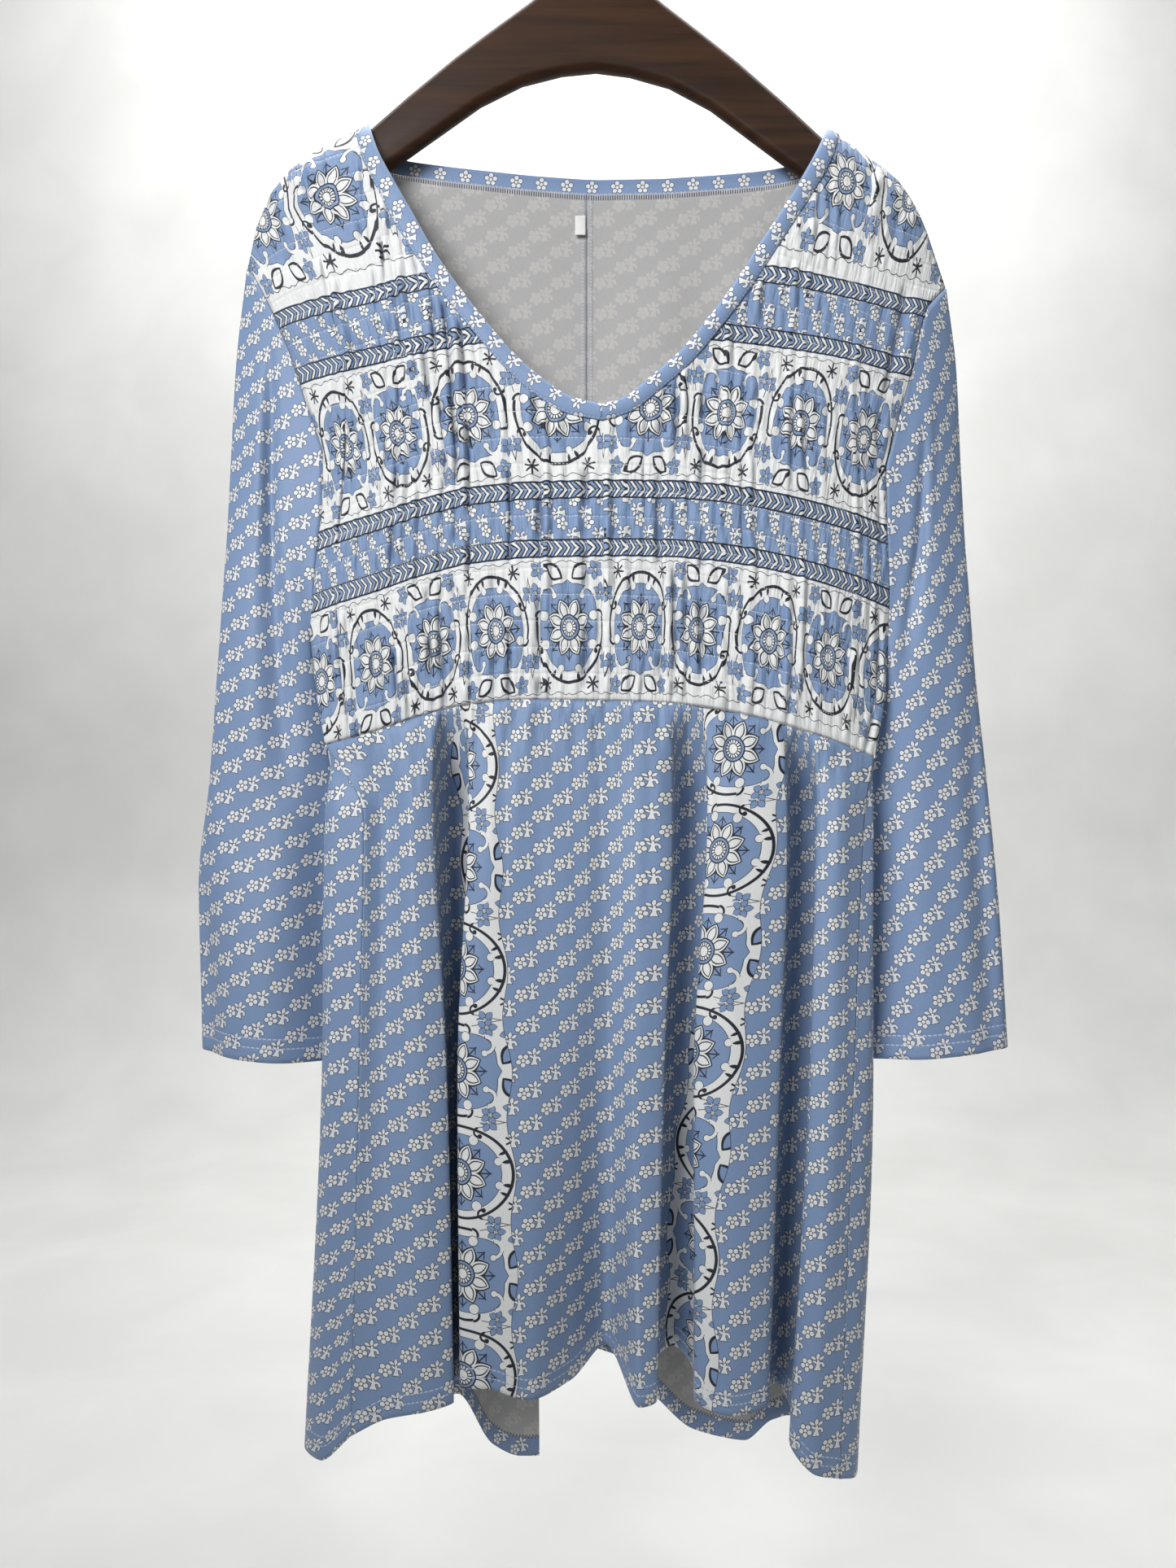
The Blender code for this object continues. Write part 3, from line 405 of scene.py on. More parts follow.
def ripple(u: Array, v: Array, u_step: float, v_step: float, seed: int) -> Array:
    """Soft uneven waves from -1 to 1 over two coordinates.

    Args:
        u: First coordinate.
        v: Second coordinate.
        u_step: Distance between crest and hollow along u.
        v_step: Distance between crest and hollow along v.
        seed: Which set of waves.

    Returns:
        The waves' height at each place.
    """
    knots = np.random.default_rng(seed).uniform(-1, 1, (97, 97))
    a = u / u_step
    b = v / v_step
    i, j = np.floor(a).astype(int), np.floor(b).astype(int)
    s, t = a - i, b - j
    s, t = s * s * (3 - 2 * s), t * t * (3 - 2 * t)
    i, j, i_next, j_next = i % 97, j % 97, (i + 1) % 97, (j + 1) % 97
    low = knots[i, j] * (1 - s) + knots[i_next, j] * s
    high = knots[i, j_next] * (1 - s) + knots[i_next, j_next] * s
    return low * (1 - t) + high * t


# Places of the print and the stitches, in millimetres of flat cloth

PRINT_PERIOD = 63.5
STRIPE_WIDTH = 68.0
BAND_MIDDLES = (46.0, 183.5, 346.0)
BAND_BORDERS = (114.0, 253.0)
STRIP_FEET = (90.0, 126.8, 228.0, 268.0)
STRIP_BORDERS = (114.5, 183.5, 253.5)
SPRIG_BANDS = ((102.0, 127.0), (239.5, 268.5))
DAISY_PITCH = 17.0
THREAD_SPACING = 16.5
THREAD_STITCH = 2.6
SLEEVE_HEM_ROWS = (9.0, 15.0)
SKIRT_HEM_ROWS = (7.0, 12.5)
HEM_TURN = 13.0
COVER_STITCH = 12.6
SEAM_ALLOWANCE = 3.6
FAR_FROM_STRIPE = 999.0

# Levels and swells of the form

GATHERS = 46
GATHER_HEIGHT = 2.5 * MM
GATHER_STEEPNESS = 0.56
GATHER_SEED = 11
DEEP_SHARE = 0.3
CALM_CORNER = 0.4
NECK_LEAN = 12 * MM
NECK_LEAN_REACH = 20 * MM
NECK_LEAN_SPREAD = 25 * MM
EDGE_SWELL = 13 * MM
EDGE_REACH = 8 * MM
FRONT_SWELL = 22 * MM
FRONT_REACH = 140 * MM
BACK_SWELL = 22 * MM
BACK_REACH = 330 * MM
SIDE_ROUNDING = 6
BACK_TURN_START = -410 * MM
BACK_TURN_LENGTH = 110 * MM
HIGH_WAIST = -595 * MM
HIP = -640 * MM
THIGH = -800 * MM
HEM = -1030 * MM
CENTRE_V = 1.6 * MM
CENTRE_BACK_TOP = -8 * MM
UNDERARM_ROW = 0.76
CAP_ROW = 0.18
EDGE_STEPS = [0, 0.022, 0.05, 0.1, CAP_ROW, 0.28, 0.39, 0.51, 0.64, UNDERARM_ROW, 0.88, 1]
LOWER_PLACES = [0, HIGH_WAIST - HIP, HIGH_WAIST - THIGH, HIGH_WAIST - HEM]
RIDGE_HALF_GAP = 0.45 * MM
SLEEVE_GAP = 0.35 * MM
SEAM_PULL = math.radians(60)
INNER_FULLNESS = 1.6
OUTER_FULLNESS = 0.8
SLEEVE_REACH = 0.75
SLEEVE_RISE = 1.4


def by_side(x: Array, left: Array, right: Array) -> Array:
    """Picks the left or the right value for each x."""
    return np.where(np.asarray(x) < 0, left, right)


def shoulder_height(x: Array) -> Array:
    """Height of the shoulder ridge, carried on to the crown, over x."""
    heights = []
    for side in Side:
        table = SHOULDER[side]
        heights.append(np.interp(np.abs(x), column(table, "across"), column(table, "height")))
    return by_side(x, *heights)


def seam_height(side: Side, row: Array) -> Array:
    """Height of the side edge at a row, from 0 at the armhole's top to 1 at the high waist seam."""
    first, last = SIDE_EDGE[side][0].height * MM, SIDE_EDGE[side][-1].height * MM
    return first + (last - first) * row


def edge(side: Side, height: Array, name: str) -> Array:
    """A column of the side edge table at a height, straight between the solids' shared rows."""
    table = SIDE_EDGE[side]
    rows = seam_height(side, np.array(EDGE_STEPS))
    values = np.interp(-rows, -column(table, "height"), column(table, name))
    return np.interp(-np.asarray(height), -rows, values)


def edge_beside(x: Array, height: Array, name: str) -> Array:
    """A column of the side edge table at a height, for the side that each x lies on."""
    return by_side(x, *[edge(side, height, name) for side in Side])


def edge_top(side: Side) -> float:
    """How far from the centre the armhole's top lies."""
    return SIDE_EDGE[side][0].across * MM


def neck_end(side: Side) -> float:
    """How far from the centre the bound neck edge meets the shoulder ridge."""
    return FRONT_NECK[side][0].outer * MM


def edge_share(x: Array, z: Array) -> Array:
    """How far out a point lies, from 0 at the centre line to 1 at the side edge of its height."""
    across = edge_beside(x, z, "across")
    return np.clip(np.abs(x) / across, 0, 1)


def front_y(x: Array, z: Array) -> Array:
    """Depth of the front over a place, level with the side edge at the side."""
    drop = np.maximum(shoulder_height(x) - z, 0)
    swell = EDGE_SWELL * (1 - np.exp(-drop / EDGE_REACH)) + FRONT_SWELL * (1 - np.exp(-drop / FRONT_REACH))
    side_y = edge_beside(x, z, "front")
    nearness = edge_share(x, z) ** SIDE_ROUNDING
    return np.minimum(-swell * (1 - nearness) + side_y * nearness, -RIDGE_HALF_GAP)


def back_y(x: Array, z: Array) -> Array:
    """Depth of the back over a place: flat between the armholes, and an oval below them."""
    drop = np.maximum(shoulder_height(x) - z, 0)
    slow = 1 - np.exp(-((drop / BACK_REACH) ** 1.5))
    swell = EDGE_SWELL * (1 - np.exp(-drop / EDGE_REACH)) + BACK_SWELL * slow
    side_y = edge_beside(x, z, "back")
    turned = np.clip((BACK_TURN_START - z) / BACK_TURN_LENGTH, 0, 1)
    share = edge_share(x, z)
    flat = 1 - share**SIDE_ROUNDING
    oval = np.sqrt(1 - share**2)
    y = side_y + (swell - side_y) * (flat + (oval - flat) * turned)
    return np.where(z > BACK_TURN_START, np.maximum(y, RIDGE_HALF_GAP), y)


def waist_height(x: Array) -> Array:
    """Height of the high waist seam over x."""
    return smooth(column(WAIST_SEAM, "x"), column(WAIST_SEAM, "height"), x)


def neck_curve(table: Sequence[NeckRow], name: str, sign: int = 1) -> Array:
    """The "outer" or "inner" edge of a neck binding as a fine curve, in its table's order."""
    corners = joined(sign * column(table, name), column(table, name + "_height"))
    along = lengths_along(corners)
    return smooth(along, corners, np.linspace(0, along[-1], 400))


def read_curve(curve: Array, places: Array) -> Array:
    """Points of a fine curve at places from 0 to 1 along it."""
    at = np.asarray(places) * (len(curve) - 1)
    return np.stack([np.interp(at, np.arange(len(curve)), part) for part in curve.T], axis=-1)


def neck_corner(side: Side, low: Array) -> int:
    """Which of the columns, at the distances low from the centre, starts at the neck's corner."""
    return int(np.argmin(np.abs(low - neck_end(side) - NECK_LEAN)))


def shoulder_top(side: Side, low: Array, corner: int) -> Array:
    """Places over the shoulder ridge for columns that lie lower down at the distances low."""
    shares = (low - low[corner]) / (edge_top(side) - low[corner])
    x = side.value * (neck_end(side) + (edge_top(side) - neck_end(side)) * shares)
    return joined(x, shoulder_height(x))


@dataclass
class Grid:
    """Points of one sheet of cloth with the coordinates that its finish reads, in millimetres.

    Attributes:
        points: Places in metres, rows by columns by three.
        across: Distance across the cloth.
        up: Distance up the cloth.
        margin: Distance in from the edge that is stitched.
        stripe: On the skirt, distance from a border stripe's middle. On the yoke, rise of the gathers, which
            its finish turns into relief and painted shade in the hollows.
        stripe_up: On the skirt, distance up the stripe from a medallion's middle.
    """

    points: Array
    across: Array
    up: Array
    margin: Array
    stripe: Array | None = None
    stripe_up: Array | None = None


def spread(points: Array) -> Array:
    """Distance across the cloth from each row's first point, in millimetres."""
    return lengths_along(points) / MM


def fallen(points: Array) -> Array:
    """Distance down the cloth from each column's first point, in millimetres."""
    return lengths_along(points.transpose(1, 0, 2)).T / MM


def risen(points: Array) -> Array:
    """Distance up the cloth from each column's last point, in millimetres."""
    return fallen(points[::-1])[::-1]


@dataclass
class Yoke:
    """The shirred front above the high waist seam, with its front neck bindings.

    Attributes:
        steps: Columns for each crest or hollow of the gathers.
        rows: Rows of the grid.
        tucked_print: How far the print slips into each gather.
        levelling: How much less the bands sag at the sides above the level height, as a share.
        level_height: Height above the seam from which they sag least, in millimetres.
        binding_rise: Height of the neck binding's rounding.
    """

    steps: int = 4
    rows: int = 112
    tucked_print: float = 1.5
    levelling: float = 0.43
    level_height: float = 234.0
    binding_rise: float = 1.1 * MM

    def gathers(self) -> tuple[Array, Array, Array]:
        """Places, tops and strengths of the gathers.

        Returns:
            The places across, the places on the shoulder and neck line, and each one's rise.
        """
        count = 2 * GATHERS + 1
        random = np.random.default_rng(GATHER_SEED)
        places = np.arange(count) - GATHERS + random.uniform(-0.28, 0.28, count)
        places[[0, -1]] = (-GATHERS, GATHERS)
        across = places / GATHERS * by_side(places, edge_top(Side.LEFT), edge_top(Side.RIGHT))
        across[GATHERS] = CENTRE_V
        strength = np.where(random.random(count) < DEEP_SHARE, 1.15, random.uniform(0.15, 0.6, count))
        strength[[0, -1]] = 0
        top = np.zeros((count, 2))
        for side in Side:
            half = slice(GATHERS, None, side.value)
            low = np.abs(across[half])
            corner = neck_corner(side, low)
            curve = neck_curve(FRONT_NECK[side], "outer", side.value)
            lean = NECK_LEAN * np.exp(-(low[corner] - low) / NECK_LEAN_SPREAD)
            x = side.value * (low - lean)[: corner + 1]
            x[[0, -1]] = (CENTRE_V, side.value * neck_end(side))
            z = np.interp(side.value * x, side.value * curve[::-1, 0], curve[::-1, 1])
            neck = joined(x, z)
            top[half] = np.concatenate([neck, shoulder_top(side, low, corner)[corner + 1 :]])
            strength[half][corner - 2 : corner + 3] *= CALM_CORNER
        crest = np.where(np.arange(count) % 2 == 1, 1.0, -1.0)
        return across, top, crest * strength

    def fine_gathers(self) -> tuple[Array, Array, Array]:
        """The gathers with further columns between each crest and hollow."""
        across, top, rise = self.gathers()
        knots = np.arange(len(across))
        at = np.linspace(0, len(across) - 1, (len(across) - 1) * self.steps + 1)
        place = at - np.floor(at)
        at_round = np.floor(at) + (1 - np.cos(np.pi * place)) / 2
        fine_top = np.stack([np.interp(at, knots, part) for part in top.T], axis=-1)
        return np.interp(at, knots, across), fine_top, np.interp(at_round, knots, rise)

    def base(self, across: Array, top: Array, row: float) -> Array:
        """The yoke without its gathers at one row.

        Args:
            across: Places of the columns over the armholes' tops.
            top: Places of the columns' tops.
            row: Share of the way down, from 0 to 1.

        Returns:
            One point for each column.
        """
        top_across = by_side(across, edge_top(Side.LEFT), edge_top(Side.RIGHT))
        pull = np.sign(across) * (np.abs(across) / top_across) ** 2
        row_across = [edge(side, seam_height(side, row), "across") for side in Side]
        end_across = [edge(side, seam_height(side, 1), "across") for side in Side]
        end_x = across - pull * (top_across - by_side(across, *end_across))
        z = top[:, 1] + (waist_height(end_x) - top[:, 1]) * row
        z[[0, -1]] = [seam_height(side, row) for side in Side]
        lean = np.exp(-(top[:, 1] - z) / NECK_LEAN_REACH)
        x = across - pull * (top_across - by_side(across, *row_across)) + (top[:, 0] - across) * lean
        return joined(x, front_y(x, z), z)

    def grid(self) -> Grid:
        """The shirred cloth from the shoulders and neck to the high waist seam."""
        across, top, rise = self.fine_gathers()
        numbers = np.arange(len(across)) / self.steps
        rows = []
        rises = []
        for row in np.linspace(0, 1, self.rows) ** 1.03:
            points = self.base(across, top, row)
            above = points[:, 2] - waist_height(points[:, 0])
            thread = np.cos(2 * np.pi * above / (THREAD_SPACING * MM))
            spacing = np.abs(np.gradient(points[:, 0])) * self.steps
            fade = min(1.0, 0.12 + row / 0.05, 0.45 + (1 - row) / 0.05)
            uneven = ripple(numbers, above / MM, 1.3, 19, 3)
            height = np.minimum(GATHER_HEIGHT, GATHER_STEEPNESS * spacing) * rise * fade
            height = height * np.clip(0.6 - 0.25 * thread + 1.1 * uneven, 0, None)
            pucker = ripple(numbers, above / MM, 0.62, 9, 4) * 0.55 * MM * (0.6 - 0.4 * thread) * fade
            soft = ripple(points[:, 0] / MM, above / MM, 38, 60, 5) * 1.6 * MM * fade
            middle = np.sin(np.pi * np.clip(edge_share(points[:, 0], points[:, 2]), 0, 1)) ** 0.5
            sway = ripple(numbers, above / MM, 3.0, 30, 6) * 0.9 * MM * fade * (spacing > 2 * MM)
            total = height + pucker * middle + soft * middle
            points[:, 1] = np.minimum(points[:, 1] - total, -RIDGE_HALF_GAP)
            points[1:-1, 0] += sway[1:-1]
            rows.append(points)
            rises.append(height / GATHER_HEIGHT)
        points = np.array(rows)
        near_seam = np.exp(-risen(points) * MM / (1.3 * MM))
        points[:, :, 1] += 0.9 * MM * near_seam
        above = (points[:, :, 2] - waist_height(points[:, :, 0])) / MM
        sag = (waist_height(np.zeros(1)) - waist_height(points[:, :, 0])) / MM
        level = np.clip(above / self.level_height, 0, 1) ** 1.5
        up = above - 0.03 * points[:, :, 0] / MM - self.levelling * level * sag
        hidden = -self.tucked_print * np.sin(np.pi * (numbers - 1)) * np.abs(rise)
        crest = np.array(rises) + 0 * above
        return Grid(points, self.print_across(points[:, :, 0], up) + hidden, up, above, crest)

    def print_across(self, x: Array, up: Array) -> Array:
        """Flat distance across the print, from where its medallions stand.

        Args:
            x: Places across, in metres.
            up: Distance above the high waist seam, in millimetres.

        Returns:
            The distance, in millimetres, with a medallion's middle at each whole period.
        """
        numbers = np.array([row.number for row in PRINT_COLUMNS])
        bands = []
        for name in ("low_x", "middle_x", "high_x"):
            places = column(PRINT_COLUMNS, name)
            step_left, step_right = places[1] - places[0], places[-1] - places[-2]
            places = np.concatenate([[places[0] - 4 * step_left], places, [places[-1] + 4 * step_right]])
            knots = np.concatenate([[numbers[0] - 4], numbers, [numbers[-1] + 4]])
            bands.append(smooth(places, knots + 0.5, np.clip(x, places[0], places[-1])))
        bands = np.array(bands) * PRINT_PERIOD
        first, second, third = BAND_MIDDLES
        low = np.clip((up - first) / (second - first), 0, 1)
        high = np.clip((up - second) / (third - second), 0, 1)
        lower = bands[0] + (bands[1] - bands[0]) * low
        return lower + (bands[2] - lower) * high

    def binding(self, side: Side) -> Grid:
        """Half of the front neck binding, from the shoulder to the mitre at the V."""
        across, top, _ = self.fine_gathers()
        half = slice(GATHERS * self.steps, None, side.value)
        corner = neck_corner(side, np.abs(across[half][:: self.steps])) * self.steps
        outer = top[half][corner::-1]
        curve = neck_curve(FRONT_NECK[side], "inner", side.value)
        fine = neck_curve(FRONT_NECK[side], "outer", side.value)
        at = np.interp(-side.value * outer[:, 0], -side.value * fine[:, 0], np.linspace(0, 1, len(fine)))
        return Strip(self.binding_rise, -1).grid(outer, read_curve(curve, at), front_y)


@dataclass
class Strip:
    """A narrow folded strip round an edge, with a rounded section.

    Attributes:
        rise: Height of the rounding.
        facing: -1 on the front and 1 on the back.
        places: Points across the section.
    """

    rise: float
    facing: int
    places: int = 7

    def grid(self, outer: Array, inner: Array, depth_of: Callable) -> Grid:
        """The strip between two edges.

        Args:
            outer: Points of the edge that is sewn to the panel, across and height.
            inner: Points of the free edge.
            depth_of: Gives the panel's depth over a place.

        Returns:
            The strip's grid.
        """
        random = np.random.default_rng(8)
        rows = []
        shares = np.linspace(-0.06, 1, self.places)
        ripples = np.convolve(random.uniform(-1, 1, len(outer) + 8), np.ones(9) / 9, "valid")
        for share in shares:
            flat = outer + (inner - outer) * share
            y = depth_of(flat[:, 0], flat[:, 1])
            round_up = self.rise * math.sin(math.pi * min(max(share, 0), 1)) ** 0.6
            y = y + self.facing * (round_up + 0.5 * MM + 0.25 * MM * ripples * share)
            y = np.minimum(y, -0.9 * MM) if self.facing < 0 else np.maximum(y, 0.9 * MM)
            rows.append(joined(flat[:, 0], y, flat[:, 1]))
        points = np.array(rows)
        tangent = np.gradient(points[0], axis=0)
        tangent /= np.linalg.norm(tangent, axis=-1)[:, None]
        offset = (points - points[0]) / MM
        along = (offset * tangent).sum(axis=-1)
        beside = np.sqrt(np.clip((offset**2).sum(axis=-1) - along**2, 0, None))
        return Grid(points, spread(points)[0] + along, -beside, beside)


def fold_number(name: str) -> int:
    """Which of the skirt's fold lines has a name."""
    return [row.name for row in FRONT_FOLDS].index(name)


def hung_levels(folds: Sequence[NamedTuple], at: Array) -> list[Array]:
    """Points of a fold table at the hip, the thigh and the hem.

    Args:
        folds: The table, one row for each fold line.
        at: Places between the fold lines.

    Returns:
        Three rows of points.
    """
    knots = np.arange(len(folds))
    levels = []
    for name, height in (("hip", HIP), ("thigh", THIGH), ("hem", None)):
        z = column(folds, "hem_height") if height is None else np.full(len(knots), height)
        corners = [column(folds, name + "_x"), column(folds, name + "_y"), z]
        levels.append(smooth(knots, np.stack(corners, axis=-1), at))
    return levels


@dataclass
class Skirt:
    """The lower front, gathered into the high waist seam.

    Attributes:
        steps: Columns for each row of the fold table.
        rows: Rows of the grid.
        crease_reach: How far down the short gathers run from the seam.
    """

    steps: int = 13
    rows: int = 126
    crease_reach: float = 30 * MM

    def grid(self) -> Grid:
        """The cloth from the high waist seam to the hem."""
        at = np.linspace(0, len(FRONT_FOLDS) - 1, (len(FRONT_FOLDS) - 1) * self.steps + 1)
        seam_x = smooth(np.arange(len(FRONT_FOLDS)), column(FRONT_FOLDS, "seam_x"), at)
        seam_z = waist_height(seam_x)
        seam = joined(seam_x, front_y(seam_x, seam_z), seam_z)
        levels = [seam] + hung_levels(FRONT_FOLDS, at)
        rows = np.linspace(0, 1, self.rows) ** 1.12
        points = smooth(LOWER_PLACES, levels, rows * LOWER_PLACES[-1])
        drop = fallen(points) * MM
        x = points[:, :, 0] / MM
        middle = np.clip(np.minimum(at, len(FRONT_FOLDS) - 1 - at) / 1.2, 0, 1)[None, :]
        gathers = ripple(x, drop / MM, 3.1, 21, 21) * 1.9 * MM * np.exp(-drop / self.crease_reach)
        gathers += ripple(x, drop / MM, 7.5, 60, 22) * 1.8 * MM * np.exp(-drop / (3.2 * self.crease_reach))
        long = ripple(at[None, :] + 0 * drop, drop / MM, 1.3, 150, 23) * 1.5 * MM * np.clip(drop / 0.08, 0, 1)
        start = np.clip(drop / (5 * MM), 0.25, 1)
        points[:, :, 1] -= (gathers * start + long) * middle
        points[:, :, 1] += 0.9 * MM * np.exp(-drop / (1.3 * MM))
        across = np.repeat(self.cloth_width(levels, at)[None, :], self.rows, axis=0)
        stripe, stripe_up = self.stripes(points, across, at)
        margin = risen(points)
        return Grid(points, across, points[:, :, 2] / MM, margin, stripe, stripe_up)

    def cloth_width(self, levels: Sequence[Array], at: Array) -> Array:
        """Flat distance of each column from the centre hollow, between its thigh's and its hem's."""
        lengths = [spread(level) for level in levels[2:]]
        across = lengths[0] * 0.6 + lengths[1] * 0.4
        return across - np.interp(fold_number("centre hollow"), at, across)

    def stripes(
        self, points: Array, across: Array, at: Array
    ) -> tuple[Array, Array]:
        """Distances from the middle of the nearer border stripe.

        Args:
            points: The sheet's points.
            across: Distance across the cloth at each point.
            at: Place of each column in the fold table.

        Returns:
            The distance across from the stripe's middle and the distance up from a medallion's middle.
        """
        heights = np.array([-900, -820, -613]) * MM
        left_edge = np.array([-53, -56, -65]) * MM
        right_edge = np.array([72, 83, 116]) * MM
        lobes = [
            (left_edge, "centre lobe, left edge", "centre hollow, left side"),
            (right_edge, "right lobe, left edge", "right lobe, right edge"),
        ]
        z = points[:, :, 2].mean(axis=1)
        sides = []
        for edges, first, last in lobes:
            use = (at >= fold_number(first)) & (at <= fold_number(last))
            edge_x = np.interp(z, heights, edges)
            found = [np.interp(place, row[use, 0], u[use]) for place, row, u in zip(edge_x, points, across)]
            sides.append(across - np.array(found)[:, None] + STRIPE_WIDTH / 2)
        nearer_left = np.abs(sides[0]) < np.abs(sides[1])
        up = points[:, :, 2] / MM + np.where(nearer_left, 608.5 + 63.5, 598.0)
        away = np.where(nearer_left, sides[0], sides[1])
        return np.where(np.abs(away) < 45, away, FAR_FROM_STRIPE), up


@dataclass
class Back:
    """The two back halves and the back neck binding.

    Attributes:
        columns: Columns of each half.
        upper_rows: Rows above the high waist.
        lower_rows: Rows below it.
        binding_rise: Height of the neck binding's rounding.
    """

    columns: int = 150
    upper_rows: int = 76
    lower_rows: int = 96
    binding_rise: float = 0.8 * MM

    def tops(self, side: Side) -> tuple[Array, Array, int]:
        """Shares of the way out of a half's columns, places of their tops, and the neck corner's number."""
        start = side.value * CENTRE_BACK_TOP
        share = np.sin(np.linspace(0, math.pi / 2, self.columns + 1))
        low = start + (edge_top(side) - start) * share
        corner = neck_corner(side, low)
        curve = neck_curve(BACK_NECK, "outer")[:: -side.value]
        along = np.linspace(1, 0, len(curve))
        centre = np.interp(side.value * CENTRE_BACK_TOP, side.value * curve[::-1, 0], along)
        neck = read_curve(curve, centre * (1 - np.arange(corner + 1) / corner) ** 1.25)
        return share, np.concatenate([neck, shoulder_top(side, low, corner)[corner + 1 :]]), corner

    def row(self, side: Side, share: Array, top: Array, row: float) -> Array:
        """One row of a half between the shoulder and the high waist, at a row from 0 to 1."""
        start = side.value * CENTRE_BACK_TOP
        z = top[:, 1] + (seam_height(side, 1) - top[:, 1]) * row
        low = side.value * (start + (edge_top(side) - start) * share)
        lean = np.exp(-(top[:, 1] - z) / NECK_LEAN_REACH)
        across = edge(side, seam_height(side, row), "across")
        x = side.value * (start + (across - start) * share) + (top[:, 0] - low) * lean
        return joined(x, back_y(x, z), z)

    def grid(self, side: Side) -> Grid:
        """One half from the shoulder and neck to the hem, out to the side seam on the front."""
        share, top, _ = self.tops(side)
        steps = np.linspace(0, 1, self.upper_rows)[:-1]
        upper = [self.row(side, share, top, row) for row in steps]
        at = np.linspace(0, len(BACK_FOLDS[side]) - 1, self.columns + 1)
        levels = [self.row(side, share, top, 1)] + hung_levels(BACK_FOLDS[side], at)
        rows = np.linspace(0, 1, self.lower_rows)
        lower = smooth(LOWER_PLACES, levels, rows * LOWER_PLACES[-1])
        points = np.concatenate([np.array(upper), lower])
        middle = np.sin(np.pi * np.linspace(0, 1, self.columns + 1)) ** 0.6
        drop = fallen(points)
        soft = ripple(points[:, :, 0] / MM, drop, 34, 130, 31) * 2.2 * MM
        soft += ripple(points[:, :, 0] / MM + 0.25 * drop, drop, 21, 80, 32) * 0.9 * MM
        points[:, :, 1] += soft * middle * np.clip(drop / 60, 0, 1)
        across = spread(points) * -side.value
        return Grid(points, across, points[:, :, 2] / MM, risen(points))

    def binding(self) -> Grid:
        """The back neck binding, from the left shoulder to the right one."""
        halves = []
        for side in Side:
            _, top, corner = self.tops(side)
            halves.append(top[: corner + 1])
        outer = np.concatenate([halves[0][::-1], halves[1][1:]])
        outer_curve = neck_curve(BACK_NECK, "outer")
        inner_curve = neck_curve(BACK_NECK, "inner")
        at = np.interp(outer[:, 0], outer_curve[:, 0], np.linspace(0, 1, len(outer_curve)))
        return Strip(self.binding_rise, 1).grid(outer, read_curve(inner_curve, at), back_y)


